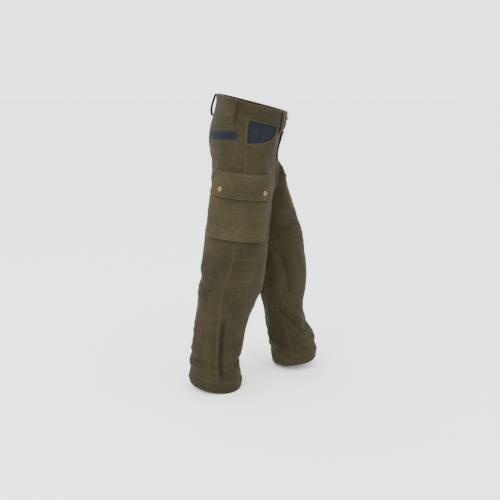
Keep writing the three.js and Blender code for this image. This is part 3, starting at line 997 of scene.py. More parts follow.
def rounded_box(place: tuple[float, float], top: Height, bottom: float, radius: float,
                upper: float = 0.0) -> Callable[[Array, Array], Array]:
    """Signed distance into a patch with rounded lower corners, positive on the cloth.

    Args:
        place: Its sides round the leg.
        top: Its upper edge.
        bottom: Its lower edge.
        radius: Radius of the lower corners, in millimetres.
        upper: Radius of the upper corners.

    Returns:
        The distance as a function of place and height.
    """
    middle, half = (place[0] + place[1]) / 2 * GIRTH, (place[1] - place[0]) / 2 * GIRTH

    def distance(u: Array, z: Array) -> Array:
        """Distance into the patch.

        Args:
            u: Places round the leg, from 0 to 1.
            z: Heights in millimetres.

        Returns:
            The distance in millimetres.
        """
        high = height_at(top, u)
        centre, tall = (high + bottom) / 2, (high - bottom) / 2
        x, y = np.abs(u * GIRTH - middle), z - centre
        r = np.where(y < 0, radius, upper)
        qx, qy = x - half + r, np.abs(y) - tall + r
        outside = np.hypot(np.maximum(qx, 0), np.maximum(qy, 0)) + np.minimum(np.maximum(qx, qy), 0) - r
        return -outside

    return distance


def outline_of(place: tuple[float, float], top: float, bottom: float, radius: float,
               inset: float) -> list[tuple[float, float]]:
    """The open path down one side of a patch, round its lower corners and up the other.

    Args:
        place: Its sides round the leg.
        top: Its upper edge.
        bottom: Its lower edge.
        radius: Radius of its lower corners, in millimetres.
        inset: How far from the edge, in millimetres.

    Returns:
        The path.
    """
    left, right = place[0] + inset / GIRTH, place[1] - inset / GIRTH
    r = max(radius - inset, 1.0)
    low = bottom + inset
    arc = np.linspace(0, math.pi / 2, 7)
    down = [(left + r / GIRTH * (1 - math.cos(a)), low + r * (1 - math.sin(a))) for a in arc]
    up = [(left + right - u, z) for u, z in reversed(down)]
    return [(left, top), *down, *up, (right, top)]


# ---- The waist ----
@dataclass
class Waistband:
    """The folded waistband of one side, gathered on its elastic, with its belt loops."""

    leg: Leg
    gather_mm: float = 12.0
    gather_rise: float = 1.15
    loop_places: tuple[float, float] = (0.145, 0.617)
    loop_width: float = 20.0
    loop_drop: float = 24.0
    loop_stand: float = 3.4

    def gathers(self, s: Array, t: Array, u: Array, z: Array) -> Array:
        """Upright puckers of the gathered cloth, strongest over the hip and the back.

        Args:
            s: Shares of the way across the patch; not used.
            t: Shares of the way down the patch.
            u: Places round the leg, from 0 to 1.
            z: Heights in millimetres.

        Returns:
            The rise in millimetres.
        """
        strength = 0.25 + 0.75 * smooth((u - 0.18) / 0.2)
        drift = self.leg.creases.noise(u * 22, z / 40) + 1.4 * self.leg.creases.noise(u * 9 + 5, z / 200)
        wave = np.abs(np.sin(math.pi * (u * 470 / self.gather_mm + 1.1 * drift)))
        wave = wave * (0.55 + 0.45 * self.leg.creases.noise(u * 15 + 2, z / 60 + 4))
        ridge = 0.6 * np.sin(math.pi * np.clip(t, 0, 1)) ** 0.4 + 0.4
        rows = sum(np.exp(-(((t - row) / 0.035) ** 2)) for row in (0.12, 0.5, 0.88))
        return strength * self.gather_rise * (wave - 0.4) * ridge - 0.35 * rows

    def bow(self, s: Array, t: Array, u: Array, z: Array) -> Array:
        """How far a belt loop stands off between its two tacked ends."""
        return self.loop_stand * smooth(np.minimum(t, 1 - t) / 0.16) - 0.5 * np.abs(s - 0.5) ** 3

    def build(self, shop: Workshop) -> None:
        """Make the band, its stitching and the loops.

        Args:
            shop: The workshop that finishes each piece.
        """
        leg, word = self.leg, self.leg.side.word
        waist = Waistline(leg)
        band = Panel(leg, (EDGE, 1 - EDGE), waist.top, waist.below(BAND_HEIGHT), lift=-6.0, thickness=8.2,
                     step=2.6, swell=self.gathers, follow=0.0, rim=1.6)
        shop.place(band.build(f"waistband_cloth_{word}"), leg, Zone.PELVIS, Finish.CANVAS,
                           f"waistband_{word}", f"waist_elastic_{word}")
        shop.sew(f"waistband_stitch_{word}", leg, Zone.PELVIS, [
            *rows_of(level(waist.below(0.0), 0.01, 0.99), (-3.5, -BAND_HEIGHT + 3.0)),
            *rows_of(upright(0.46, -22, -64), (0.0,)),
        ], 2.5)
        names = ("front", "side")
        for name, place in zip(names, self.loop_places):
            half = self.loop_width / 2 / 520
            top, bottom = waist.below(1.0), waist.below(BAND_HEIGHT + self.loop_drop)
            loop = Panel(leg, (place - half, place + half), top, bottom, lift=CLOTH + 1.0, thickness=1.9,
                         step=1.8, swell=self.bow)
            node = f"belt_loop_{name}_{word}"
            shop.place(loop.build(f"{node}_cloth"), leg, Zone.PELVIS, Finish.CANVAS, node)
            edges = [level(waist.below(drop), place - half * 0.8, place + half * 0.8)(0) for drop in
                     (5, 7.5, BAND_HEIGHT + self.loop_drop - 6.5, BAND_HEIGHT + self.loop_drop - 4)]
            shop.sew(f"{node}_tacks", leg, Zone.PELVIS, edges, CLOTH + 4.1)
            sides = [[(place + k * half * 0.62, float(waist.top(place + k * half * 0.62) - d))
                      for d in np.linspace(11, BAND_HEIGHT + self.loop_drop - 11, 12)] for k in (-1, 1)]
            shop.sew(f"{node}_stitch", leg, Zone.PELVIS, sides, CLOTH + 1.0 + 1.9 + self.loop_stand - 0.2)


# ---- The upper cloth: front, seat and hip pockets ----
@dataclass
class Uppers:
    """The front and seat panels of one side from the waist to the knee, with the hip and back pockets."""

    leg: Leg
    scoop: tuple[tuple[float, float], ...] = (
        (90.0, -30.0), (92.0, -60.0), (93.0, -86.0), (92.0, -101.0), (88.0, -115.0), (80.5, -126.5),
        (69.5, -134.5), (55.0, -139.0), (40.0, -141.0), (20.0, -141.0), (-60.0, -141.0),
    )
    fly_half: float = 11.5
    fly_bottom: float = -263.0
    seam_strip: float = 7.0
    back_pocket: tuple[float, float] = (0.56, 0.872)
    back_top: float = -103.0
    trim_height: float = 28.0
    back_bottom: float = -198.0

    def scoop_places(self) -> Array:
        """The pocket mouth's curve as pairs of place round the leg and height.

        Returns:
            One row for each point of the curve.
        """
        places = []
        for x, z in self.scoop:
            u = np.linspace(0.02, 0.5, 400)
            across = self.leg.flat(u, np.full_like(u, z))[:, 0]
            places.append((float(u[np.argmin(np.abs(across - x))]), z))
        last = 0.5 - self.seam_strip / GIRTH
        kept = [p for p in places if p[0] < last]
        return np.array([*kept, (last, self.scoop[-1][1])])

    def cut_front(self, curve: Array) -> Callable[[Array, Array], Array]:
        """The front panel's cut-outs at the pocket mouth and the fly, negative where cloth is cut away.

        Args:
            curve: The pocket mouth's curve, as pairs of place and height.

        Returns:
            The distance as a function of place and height.
        """
        x, z = curve[:, 0] * GIRTH, curve[:, 1]

        def distance(u: Array, height: Array) -> Array:
            """Distance into the cloth that is kept.

            Args:
                u: Places round the leg, from 0 to 1.
                height: Heights in millimetres.

            Returns:
                The distance in millimetres.
            """
            px, pz = u * GIRTH, height
            near = np.full_like(px, 1e9)
            for i in range(len(x) - 1):
                d = np.array([x[i + 1] - x[i], z[i + 1] - z[i]])
                t = np.clip(((px - x[i]) * d[0] + (pz - z[i]) * d[1]) / (d @ d), 0, 1)
                near = np.minimum(near, np.hypot(px - x[i] - t * d[0], pz - z[i] - t * d[1]))
            edge = np.interp(-pz, -z, x)
            side = curve[-1, 0] * GIRTH
            inside = (px > edge) & (pz > z[-1]) & (px < side)
            rim = np.where(pz > z[-1], np.abs(px - side), np.hypot(px - side, pz - z[-1]))
            mouth = np.minimum(near, rim) * np.where(inside, -1, 1)
            across = np.abs(self.leg.flat(u, height)[..., 1])
            fly = np.maximum(across - self.fly_half, self.fly_bottom - height)
            return np.minimum(mouth, fly)

        return distance

    def build(self, shop: Workshop) -> None:
        """Make the panels, pockets and their stitching.

        Args:
            shop: The workshop that finishes each piece.
        """
        leg, word = self.leg, self.leg.side.word
        waist = Waistline(leg)
        under = waist.below(BAND_HEIGHT - 1.0)
        curve = self.scoop_places()
        mouth = float(curve[:, 0].min())
        front = Panel(leg, FRONT, under, FRONT_SPLIT, cut=self.cut_front(curve))
        shop.sheet(front, f"front_cloth_{word}", Zone.HIP, Finish.CANVAS, f"front_hip_{word}",
                   f"thigh_front_{word}", f"hip_band_{word}", hangs_from=(f"waistband_cloth_{word}",))
        seat = Panel(leg, BACK, under, BACK_SPLIT, rim=0.2)
        shop.sheet(seat, f"seat_cloth_{word}", Zone.HIP, Finish.CANVAS, f"back_hip_{word}",
                   f"thigh_back_{word}", hangs_from=(f"waistband_cloth_{word}",))
        facing = Panel(leg, (mouth - 0.03, 0.499), waist.below(BAND_HEIGHT - 6), -158.0, lift=-CLOTH - 1.0,
                       thickness=1.4)
        shop.sheet(facing, f"pocket_facing_cloth_{word}", Zone.HIP, Finish.NAVY,
                   f"front_pocket_facing_{word}", hangs_from=(f"waistband_cloth_{word}",))
        bag = Panel(leg, (mouth - 0.02, 0.49), waist.below(BAND_HEIGHT - 6), -214.0, lift=-2 * CLOTH - 2.0,
                    thickness=1.2, step=5.0)
        shop.sheet(bag, f"pocket_bag_cloth_{word}", Zone.HIP, Finish.LINING, f"front_pocket_bag_{word}",
                   hangs_from=(f"waistband_cloth_{word}",))
        shares = np.linspace(0, 1, len(curve)) ** 0.6
        lines = [[(float(u) - d / GIRTH, float(z) - d * k) for (u, z), k in zip(curve, shares)
                  if z < -60] for d in (3.0, 8.5)]
        shop.sew(f"pocket_mouth_stitch_{word}", leg, Zone.HIP, lines, CLOTH + 0.1)
        self.back(shop)
        self.seams(shop)

    def back(self, shop: Workshop) -> None:
        """Make the back pocket, with its contrast trim along the mouth.

        Args:
            shop: The workshop that finishes each piece.
        """
        leg, word = self.leg, self.leg.side.word
        left, right = self.back_pocket
        trim = Panel(leg, self.back_pocket, self.back_top, self.back_top - self.trim_height, lift=CLOTH + 0.5,
                     thickness=1.7, step=2.6)
        shop.sheet(trim, f"back_pocket_trim_cloth_{word}", Zone.HIP, Finish.NAVY, f"back_pocket_trim_{word}",
                   hangs_from=(f"seat_cloth_{word}",))
        low = self.back_top - self.trim_height + 0.5
        patch = Panel(leg, self.back_pocket, low, self.back_bottom, lift=CLOTH + 0.4, thickness=1.6, step=2.6,
                      cut=rounded_box(self.back_pocket, low + 20, self.back_bottom, 16.0))
        shop.sheet(patch, f"back_pocket_cloth_{word}", Zone.HIP, Finish.CANVAS, f"back_pocket_{word}",
                   hangs_from=(f"back_pocket_trim_cloth_{word}",))
        outline = [outline_of(self.back_pocket, self.back_top - 3, self.back_bottom, 16.0,
                              inset) for inset in (3.0, 8.0)]
        shop.sew(f"back_pocket_stitch_{word}", leg, Zone.HIP,
                 [*outline, level(low - 5, left + 0.008, right - 0.008)(0)], CLOTH + 2.1)

    def seams(self, shop: Workshop) -> None:
        """Sew the side seam, the inseam and the seat seam down to the knee.

        Args:
            shop: The workshop that finishes each piece.
        """
        leg, word = self.leg, self.leg.side.word
        side = rows_of(upright(0.5, -78, BACK_SPLIT), (-4.0, 4.0))
        inseam = [upright(0.0, CROTCH - 12, FRONT_SPLIT)(4.0), upright(1.0, CROTCH - 12, BACK_SPLIT)(-4.0)]
        middle = rows_of(upright(1.0, -85, CROTCH + 20), (-5.0,))
        middle += rows_of(upright(0.0, -268, CROTCH + 20), (5.0,))
        heights = np.linspace(-76, self.fly_bottom + 4, 30)
        fly = [[(self.fly_place(z, inset), z) for z in heights]
               for inset in (3.0, 9.0)]
        shop.sew(f"upper_seam_stitch_{word}", leg, Zone.HIP, [*side, *inseam, *middle, *fly], CLOTH + 0.1)

    def fly_place(self, z: float, inset: float) -> float:
        """The place round the leg a little outside the fly's edge at a height.

        Args:
            z: The height in millimetres.
            inset: How far from the edge, in millimetres.

        Returns:
            The place.
        """
        u = np.linspace(0, 0.2, 300)
        across = np.abs(self.leg.flat(u, np.full_like(u, z))[:, 1])
        return float(u[np.argmin(np.abs(across - self.fly_half - inset))])


# ---- The cargo pocket ----
@dataclass
class CargoPocket:
    """The bellows pocket on the outside of the thigh, its flap and its snaps."""

    leg: Leg
    round: tuple[float, float] = (0.322, 0.668)
    top: float = -252.0
    bottom: float = -466.0
    corner: float = 20.0
    stand: float = 6.0
    crown: float = 6.0
    flap_round: tuple[float, float] = (0.286, 0.694)
    flap_bottom: float = -324.0
    flap_corner: float = 21.0
    flap_level: float = 13.6
    snap_places: tuple[float, float] = (0.343, 0.627)
    snap_height: float = -300.0
    cap_radius: float = 8.5

    def pillow(self, s: Array, t: Array, u: Array, z: Array) -> Array:
        """The pocket's sag: fullest low in the middle, flat under the snaps, with a soft upright fold.

        Args:
            s: Shares of the way across the patch.
            t: Shares of the way down the patch.
            u: Places round the leg, from 0 to 1; not used.
            z: Heights in millimetres; not used.

        Returns:
            The rise in millimetres.
        """
        wide = np.sin(math.pi * np.clip(s, 0, 1)) ** 0.7
        low = smooth((t - 0.22) / 0.4) * (0.75 + 0.25 * smooth((1 - t) / 0.1))
        fold = 1.3 * np.exp(-(((s - 0.24 - 0.05 * t) / 0.035) ** 2)) * low
        hollow = 1.1 * np.exp(-(((s - 0.31) / 0.03) ** 2)) * low
        return self.crown * wide * low + 1.2 * wide + fold - hollow

    def over(self, s: Array, t: Array, u: Array, z: Array) -> Array:
        """How the flap climbs from its seam over the pocket's mouth, and dips a little at its snaps.

        Args:
            s: Shares of the way across the patch.
            t: Shares of the way down the patch.
            u: Places round the leg, from 0 to 1.
            z: Heights in millimetres.

        Returns:
            The rise in millimetres.
        """
        climb = (self.flap_level - 3.2) * smooth(t / 0.3)
        crown = 2.4 * np.sin(math.pi * np.clip(s, 0, 1)) * smooth((t - 0.25) / 0.5)
        sides = [-(((u - p) * GIRTH / 16) ** 2) for p in self.snap_places]
        dips = sum(np.exp(side - (((z - self.snap_height) / 16) ** 2)) for side in sides)
        wave = 0.9 * np.sin(9 * s + 1.0) * smooth((t - 0.5) / 0.4)
        return climb + (crown + wave) * (1 - np.clip(dips, 0, 1)) - 0.2 * dips

    def build(self, shop: Workshop) -> None:
        """Make the gusset, the face, the flap and the snap caps.

        Args:
            shop: The workshop that finishes each piece.
        """
        leg, word = self.leg, self.leg.side.word
        inset = 5.0
        inner = (self.round[0] + inset / GIRTH, self.round[1] - inset / GIRTH)
        gusset = Panel(leg, inner, self.top, self.bottom + inset, lift=CLOTH + 0.4,
                       thickness=self.stand - CLOTH,
                       step=4.0, cut=rounded_box(inner, self.top, self.bottom + inset, self.corner), rim=1.0)
        shop.place(gusset.build(f"cargo_gusset_{word}"), leg, Zone.THIGH, Finish.RUBBED)
        face = Panel(leg, self.round, self.top, self.bottom, lift=self.stand, thickness=CLOTH,
                     swell=self.pillow,
                     cut=rounded_box(self.round, self.top, self.bottom, self.corner), step=2.8)
        shop.sheet(face, f"cargo_pocket_cloth_{word}", Zone.THIGH, Finish.RUBBED, f"cargo_pocket_{word}",
                   hangs_from=(f"cargo_gusset_{word}",))
        off = self.stand + CLOTH + 0.1
        sewn = self.surface(self.round, self.top, self.bottom, self.pillow, off)
        shop.sew(f"cargo_pocket_stitch_{word}", leg, Zone.THIGH,
                 [outline_of(self.round, self.top - 60, self.bottom, self.corner, d) for d in (3.5, 9.5)],
                 sewn)
        flap = Panel(leg, self.flap_round, FLAP_TOP, self.flap_bottom, lift=CLOTH + 1.6,
                     thickness=CLOTH + 0.5, swell=self.over, step=2.4, rim=0.9,
                     cut=rounded_box(self.flap_round, FLAP_TOP, self.flap_bottom, self.flap_corner))
        shop.sheet(flap, f"cargo_flap_cloth_{word}", Zone.FLAP, Finish.RUBBED, f"cargo_flap_{word}",
                   hangs_from=(f"front_cloth_{word}", f"seat_cloth_{word}"))
        sewn = self.surface(self.flap_round, FLAP_TOP, self.flap_bottom, self.over, 2 * CLOTH + 2.2)
        shop.sew(f"cargo_flap_stitch_{word}", leg, Zone.FLAP, [
            outline_of(self.flap_round, FLAP_TOP - 3, self.flap_bottom, self.flap_corner, 3.5),
            outline_of(self.flap_round, FLAP_TOP - 10, self.flap_bottom, self.flap_corner, 9.5),
            level(FLAP_TOP, self.flap_round[0] + 0.008, self.flap_round[1] - 0.008)(-3.5),
            level(FLAP_TOP, self.flap_round[0] + 0.016, self.flap_round[1] - 0.016)(-9.5),
        ], sewn)
        for name, place in zip(("front", "rear"), self.snap_places):
            self.cap(shop, name, place)

    def surface(self, place: tuple[float, float], top: float, bottom: float,
                swell: Callable[[Array, Array, Array, Array], Array],
                off: float) -> Callable[[Array, Array], Array]:
        """The outer face of a swelling patch, as a distance off the leg."""
        share = lambda u: (u - place[0]) / (place[1] - place[0])
        return lambda u, z: off + swell(share(u), (top - z) / (top - bottom), u, z)

    def cap(self, shop: Workshop, name: str, place: float) -> None:
        """Turn one snap's cap: a domed brass cap with a rolled rim, standing on the flap.

        Args:
            shop: The workshop that finishes each piece.
            name: Which snap it is, front or rear.
            place: Its place round the leg.
        """
        leg, word = self.leg, self.leg.side.word
        spot = np.array([place]), np.array([self.snap_height])
        share = (spot[0] - self.flap_round[0]) / (self.flap_round[1] - self.flap_round[0])
        down = (FLAP_TOP - spot[1]) / (FLAP_TOP - self.flap_bottom)
        off = 2 * CLOTH + 2.1 + self.over(share, down, *spot)
        foot = leg.cloth(*spot, off)[0]
        normal = leg.cloth(*spot, off + 1.0)[0] - foot
        r = self.cap_radius
        profile = [(0.01, -2.5), (2.2, -2.5), (2.2, -0.4), (r * 0.8, -0.4), (r * 0.97, -0.2), (r, 0.5),
                   (r * 0.97, 1.1),
                   (r * 0.88, 1.4), (r * 0.82, 1.25), (r * 0.7, 1.7), (r * 0.45, 2.35), (r * 0.2, 2.65),
                   (0.01, 2.7)]
        piece = turned(f"snap_cap_{name}_{word}_brass", profile, foot, normal)
        shop.wardrobe.dress(piece, Finish.BRASS)
        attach(piece, f"cargo_flap_{word}")
        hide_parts(f"snap_cap_{name}_{word}")
        log.info("%s", piece.name)


# ---- Below the knee ----
@dataclass
class Lowers:
    """The knee and shin of one leg, its pads and its turned-up hem."""

    leg: Leg
    pad_lift: float = -6.4
    pad: float = 4.6
    quilt: tuple[float, float] = (0.045, 46.0)

    def quilting(self, s: Array, t: Array, u: Array, z: Array) -> Array:
        """The pad's sewn channels: upright rows, hollow at each line of stitching."""
        line = np.exp(-((np.sin(math.pi * u / self.quilt[0]) / 0.28) ** 2))
        return -1.6 * line * (np.minimum(t, 1 - t) > 0)

    def cuff(self, s: Array, t: Array, u: Array, z: Array) -> Array:
        """The hem's unevenness: it bells out a little and ripples where it was sewn."""
        ripple = 0.7 * self.leg.creases.noise(u * 34, t * 1.5 + 7)
        return 1.4 * np.sin(math.pi * np.clip(t * 0.9 + 0.1, 0, 1)) + ripple

    def build(self, shop: Workshop) -> None:
        """Make the knee and shin panels, pads and hem.

        Args:
            shop: The workshop that finishes each piece.
        """
        leg, word = self.leg, self.leg.side.word
        low = LEG_END + HEM_HEIGHT
        front = Panel(leg, FRONT, FRONT_SPLIT, low)
        shop.sheet(front, f"lower_front_cloth_{word}", Zone.KNEE, Finish.CANVAS, f"knee_band_{word}",
                   f"shin_front_{word}", hangs_from=(f"front_cloth_{word}",))
        back = Panel(leg, BACK, BACK_SPLIT, low, rim=0.2)
        shop.sheet(back, f"lower_back_cloth_{word}", Zone.KNEE, Finish.CANVAS, f"shin_back_{word}",
                   hangs_from=(f"seat_cloth_{word}",))
        hem = Panel(leg, (EDGE, 1 - EDGE), low + 0.5, LEG_END, lift=-0.4, thickness=2 * CLOTH + 1.0,
                    swell=self.cuff, step=2.6, rim=1.4, follow=0.5)
        shop.place(hem.build(f"hem_cloth_{word}"), leg, Zone.SHIN, Finish.CANVAS, f"hem_{word}")
        for name, top, bottom, node in (("thigh", -414.0, -660.0, "thigh_pad"),
                                        ("shin", -664.0, -950.0, "shin_pad")):
            quilted = Panel(leg, (0.13, 0.42), top, bottom, lift=self.pad_lift, thickness=self.pad,
                            swell=self.quilting, step=4.0, rim=1.6, follow=0.0)
            piece = shop.place(quilted.build(f"{name}_pad_knit_{word}"), leg, Zone.KNEE, Finish.PAD,
                               f"{node}_{word}")
        self.seams(shop)

    def seams(self, shop: Workshop) -> None:
        """Sew the seams from the knee down, the knee's cross lines and the hem.

        Args:
            shop: The workshop that finishes each piece.
        """
        leg, word = self.leg, self.leg.side.word
        low = LEG_END + HEM_HEIGHT
        side = rows_of(upright(0.5, BACK_SPLIT - 2, low + 3), (-4.0, 4.0))
        inseam = [upright(0.0, FRONT_SPLIT, low + 3)(4.0), upright(1.0, BACK_SPLIT, low + 3)(-4.0)]
        knee = [path for line in KNEE_LINES for path in rows_of(level(line, 0.03, 0.485), (-3.6,))]
        shop.sew(f"lower_seam_stitch_{word}", leg, Zone.KNEE, [*side, *inseam, *knee], CLOTH + 0.1)
        wave = lambda u, z: 2 * CLOTH + 0.8 + self.cuff(u, (low - z) / HEM_HEIGHT, u, z)
        shop.sew(f"hem_stitch_{word}", leg, Zone.SHIN,
                 rows_of(level(low, 0.005, 0.995), (-3.5, -HEM_HEIGHT + 5)), wave)


# ---- The fly ----
@dataclass
class Fly:
    """The zip with its coil teeth, the shield behind it, the waist button and the loop at the back."""

    right: Leg
    foot: tuple[float, float, float] = (73.905, 0.0, -258.0)
    up: tuple[float, float, float] = (0.24798, 0.0, 0.96877)
    length: float = 165.1
    tooth_pitch: float = 2.3
    tape_reach: float = 17.0
    shield_half: float = 26.0

    def at(self, x: Array, y: Array, z: Array) -> Array:
        """Points in the zip's own frame: across to the wearer's left, up the zip, and outwards.

        Args:
            x: Distances to the wearer's left.
            y: Distances up the zip.
            z: Distances outwards.

        Returns:
            The points.
        """
        up, out = np.array(self.up), np.array([self.up[2], 0.0, -self.up[0]])
        across = np.array([0.0, 1.0, 0.0])
        return np.array(self.foot) + x[..., None] * across + y[..., None] * up + z[..., None] * out

    def strip(self, name: str, start: float, end: float, bottom: float, top: float, thick: float,
              depth: Callable[[Array], Array]) -> bpy.types.Object:
        """A strip of cloth in the zip's frame, with its depth a function of the way across.

        Args:
            name: The piece's name.
            start: Where it starts.
            end: Where it ends.
            bottom: Its lower edge.
            top: Its upper edge.
            thick: Thickness in millimetres.
            depth: The depth of the outer face as a function of x.

        Returns:
            The linked object.
        """
        x, y = np.meshgrid(np.linspace(start, end, 14), np.linspace(bottom, top, 70))
        z = depth(x) + 0.25 * np.sin(y / 9.0)
        uv = np.stack([x, y], -1) * MM
        turn = start < end
        outer, inner = self.at(x, y, z), self.at(x, y, z - thick)
        if turn:
            outer, inner, uv = outer[:, ::-1], inner[:, ::-1], uv[:, ::-1]
        return shell(name, outer, inner, uv)

    def build(self, shop: Workshop) -> None:
        """Make the tapes, teeth, shield, button and back loop, and dress the slider.

        Args:
            shop: The workshop that finishes each piece.
        """
        for side in Side:
            s, word = side.value, side.word
            tape = self.strip(f"zip_tape_cloth_{word}", s * 1.4, s * self.tape_reach, 0.0, self.length, 1.0,
                              lambda x: -0.6 - np.maximum(np.abs(x) - 4, 0) * 1.05)
            shop.place(tape, self.right, Zone.PELVIS, Finish.WEBBING, f"zip_tape_{word}")
            y = np.arange(6.0, self.length - 8, self.tooth_pitch) + (0.5 * self.tooth_pitch if s > 0 else 0.0)
            centre = self.at(np.full_like(y, s * 1.5), y, np.full_like(y, 0.1))
            along = np.tile([0.0, 1.0, 0.0], (len(y), 1))
            normal = np.tile([self.up[2], 0.0, -self.up[0]], (len(y), 1))
            coil = stitches(f"zip_coil_{word}", [(centre, along, normal)], long=4.6, wide=1.9, high=0.95)
            shop.place(coil, self.right, Zone.PELVIS, Finish.WEBBING)
        shield = self.strip("fly_shield_cloth", -self.shield_half, self.shield_half, 0.0, self.length - 4,
                            1.5, lambda x: -18.0 + 0.0018 * x**2)
        shop.place(shield, self.right, Zone.PELVIS, Finish.CANVAS, "fly_shield")
        centre = np.array(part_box("waist_button")).mean(0) / MM
        low = np.array([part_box("waist_button")[0][0] / MM, 0.0, centre[2]])
        r = 8.5
        profile = [(0.01, 0.0), (3.2, 0.0), (3.2, 2.2), (r * 0.94, 2.2), (r, 2.8), (r, 3.7), (r * 0.93, 4.3),
                   (r * 0.8, 4.4), (r * 0.72, 4.0), (r * 0.3, 3.9), (0.01, 3.9)]
        button = turned("waist_button_brass", profile, low, np.array([1.0, 0.0, 0.12]))
        shop.place(button, self.right, Zone.PELVIS, Finish.BRASS, "waist_button")
        self.back_loop(shop)
        for node in ("zip_slider", "zip_puller", "zip_bottom_stop"):
            shop.wardrobe.node(node, Finish.NICKEL)
        for side in Side:
            for end in ("front", "rear"):
                shop.wardrobe.node(f"snap_stud_{end}_{side.word}", Finish.BRASS)

    def back_loop(self, shop: Workshop) -> None:
        """Make the black webbing loop that bows off the middle of the back.

        Args:
            shop: The workshop that finishes each piece.
        """
        low, high = (np.array(corner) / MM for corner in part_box("belt_loop_back"))
        t = np.linspace(0, 1, 44)
        z = high[2] + (low[2] - high[2]) * t
        waist = self.right.flat(np.full_like(z, 1 - EDGE), z)[:, 0]
        stand = CLOTH + 1.2 + 10.0 * np.sin(math.pi * np.clip((t - 0.04) / 0.92, 0, 1) ** 1.2) ** 0.7
        y = np.linspace(-10, 10, 9)
        grid = lambda off: np.stack(np.broadcast_arrays((waist - off)[:, None], y[None], z[:, None]), -1)
        uv = np.stack(np.broadcast_arrays(y[None], z[:, None]), -1) * MM
        loop = shell("belt_loop_back_webbing", grid(stand + 6.0), grid(stand), uv)
        shop.place(loop, self.right, Zone.PELVIS, Finish.WEBBING, "belt_loop_back")


# ---- The studio ----
@dataclass
class Studio:
    """The camera, the pale floor and the soft lights."""

    distance: float = 2.5
    azimuth: float = 5.0
    pitch: float = 12.2
    aim_left: float = 0.17
    lens: float = 50.0
    floor: float = -1.0235

    def camera(self) -> None:
        """Look at the wearer's right side from a little in front, level with the waist."""
        data = bpy.data.cameras.new("camera")
        data.lens, data.sensor_width = self.lens, 36.0
        camera = bpy.data.objects.new("camera", data)
        a = math.radians(self.azimuth)
        camera.location = (self.distance * math.sin(a), -self.distance * math.cos(a), 0.0)
        turn = math.radians(self.azimuth + self.aim_left)
        look = Vector((-math.sin(turn), math.cos(turn), -math.tan(math.radians(self.pitch))))
        camera.rotation_euler = look.to_track_quat("-Z", "Y").to_euler()
        bpy.context.scene.collection.objects.link(camera)
        bpy.context.scene.camera = camera

    def build(self) -> None:
        """Lay the floor, and light it from above, in front and behind."""
        size = 300.0
        floor = mesh_object("floor",
                            np.array([[-size, -size, 0], [size, -size, 0], [size, size, 0],
                                      [-size, size, 0]]) / MM,
                            [(0, 1, 2, 3)])
        floor.location.z = self.floor
        material, _, shader = start_material("pale painted floor")
        shader.inputs["Base Color"].default_value = linear("#f7f7f5")
        shader.inputs["Roughness"].default_value = 0.9
        floor.data.materials.append(material)
        world = bpy.data.worlds.new("studio")
        bpy.context.scene.world = world
        world.use_nodes = True
        world.node_tree.nodes["Background"].inputs[0].default_value = linear("#fbfbfc")
        world.node_tree.nodes["Background"].inputs[1].default_value = 3.0
        self.light("key", (-1.6, -2.6, 1.9), 105.0, 1.4, "#fff7ea")
        self.light("fill", (2.4, -2.0, 0.6), 9.0, 2.2, "#eef3ff")
        self.light("rim", (-1.2, 2.4, 1.8), 12.0, 1.8, "#ffffff")

    def light(self, name: str, place: tuple[float, float, float], watts: float, size: float,
              colour: str) -> None:
        """Hang one soft square light that faces the middle of the garment.

        Args:
            name: The light's name.
            place: Where it hangs, in metres.
            watts: Its power.
            size: Its side in metres.
            colour: Its sRGB hex colour.
        """
        data = bpy.data.lights.new(name, "AREA")
        data.energy, data.size, data.color = watts, size, linear(colour)[:3]
        lamp = bpy.data.objects.new(name, data)
        lamp.location = place
        lamp.rotation_euler = (Vector((0, 0, -0.5)) - Vector(place)).to_track_quat("-Z", "Y").to_euler()
        bpy.context.scene.collection.objects.link(lamp)


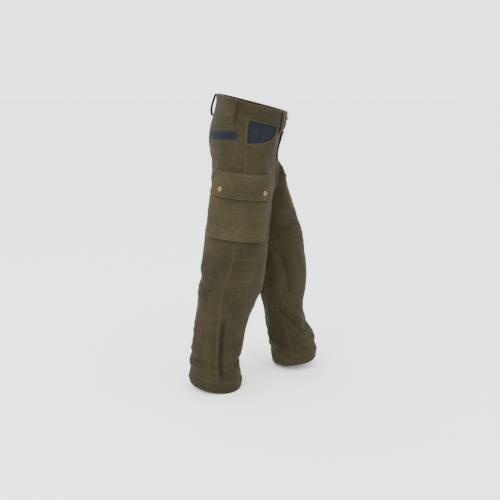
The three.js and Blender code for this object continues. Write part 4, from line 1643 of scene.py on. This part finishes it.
def legs() -> dict[Side, Leg]:
    """Both halves of the garment, each with its stance and its own folds.

    Returns:
        Each side's leg.
    """
    right = [
        Fold((0.472, -754.0), (0.466, -972.0), 9.0, -14.0), Fold((0.438, -756.0), (0.425, -965.0), 15.0, 8.0),
        Fold((0.53, -730.0), (0.545, -945.0), 18.0, 4.5), Fold((0.82, -606.0), (0.60, -652.0), 15.0, -4.0),
        Fold((0.84, -578.0), (0.64, -618.0), 19.0, 2.2), Fold((0.84, -650.0), (0.62, -695.0), 18.0, 4.0),
        Fold((0.18, -905.0), (0.34, -925.0), 10.0, -8.0), Fold((0.52, -922.0), (0.80, -910.0), 9.0, -6.0),
        Fold((0.55, -950.0), (0.82, -940.0), 11.0, 5.0), Fold((0.30, -930.0), (0.45, -952.0), 10.0, -5.0),
        Fold((0.62, -700.0), (0.70, -890.0), 24.0, 4.5), Fold((0.74, -710.0), (0.80, -920.0), 14.0, -5.0),
        Fold((0.02, -345.0), (0.20, -420.0), 13.0, 5.0), Fold((0.02, -375.0), (0.22, -470.0), 13.0, -5.0),
        Fold((0.98, -330.0), (0.80, -400.0), 14.0, 6.0), Fold((0.97, -365.0), (0.78, -450.0), 13.0, -5.0),
        Fold((0.34, -535.0), (0.44, -740.0), 13.0, -5.0), Fold((0.41, -500.0), (0.39, -680.0), 18.0, 4.5),
        Fold((0.60, -500.0), (0.72, -590.0), 20.0, 4.5), Fold((0.55, -560.0), (0.58, -720.0), 16.0, -4.0),
        Fold((0.56, -206.0), (0.72, -228.0), 10.0, 3.0), Fold((0.90, -220.0), (0.80, -290.0), 16.0, 4.0),
        Fold((0.30, -180.0), (0.16, -240.0), 15.0, -3.0),
    ]
    left = [
        Fold((0.99, -750.0), (1.17, -860.0), 12.0, 9.0), Fold((0.97, -785.0), (1.13, -890.0), 10.0, -9.0),
        Fold((0.03, -580.0), (0.05, -730.0), 10.0, -8.0), Fold((0.08, -590.0), (0.11, -735.0), 15.0, 5.0),
        Fold((0.20, -880.0), (0.05, -905.0), 12.0, -6.0), Fold((0.22, -930.0), (0.02, -950.0), 11.0, 6.0),
        Fold((0.20, -958.0), (0.90, -962.0), 9.0, -5.0), Fold((0.96, -640.0), (0.85, -720.0), 12.0, -5.0),
        Fold((0.90, -760.0), (0.84, -930.0), 15.0, 5.0), Fold((0.02, -345.0), (0.20, -400.0), 13.0, 5.0),
        Fold((0.02, -380.0), (0.2, -460.0), 13.0, -5.0), Fold((0.98, -350.0), (0.80, -420.0), 14.0, 5.0),
        Fold((0.97, -385.0), (0.80, -470.0), 13.0, -5.0), Fold((0.47, -760.0), (0.475, -940.0), 10.0, -8.0),
        Fold((0.55, -640.0), (0.75, -680.0), 12.0, -6.0), Fold((0.52, -700.0), (0.62, -910.0), 18.0, 5.0),
        Fold((0.90, -220.0), (0.80, -290.0), 16.0, 4.0),
        Fold((0.22, -225.0), (0.24, -560.0), 95.0, 8.0),
    ]
    return {
        Side.RIGHT: Leg(Side.RIGHT, -5.9, 2.5, RIGHT_ALONG, right, Creases(11)),
        Side.LEFT: Leg(Side.LEFT, 15.4, 7.9, LEFT_ALONG, left, Creases(23)),
    }


def main() -> None:
    """Build the studio and the garment, one sub-assembly at a time."""
    logging.basicConfig(level=logging.INFO, format="%(message)s")
    studio = Studio()
    studio.camera()
    shop = Workshop()
    both = legs()
    for leg in both.values():
        for part in (Waistband(leg), Uppers(leg), CargoPocket(leg), Lowers(leg)):
            log.info("%s, %s", type(part).__name__, leg.side.word)
            part.build(shop)
    Fly(both[Side.RIGHT]).build(shop)
    studio.build()


if __name__ == "__main__":
    main()
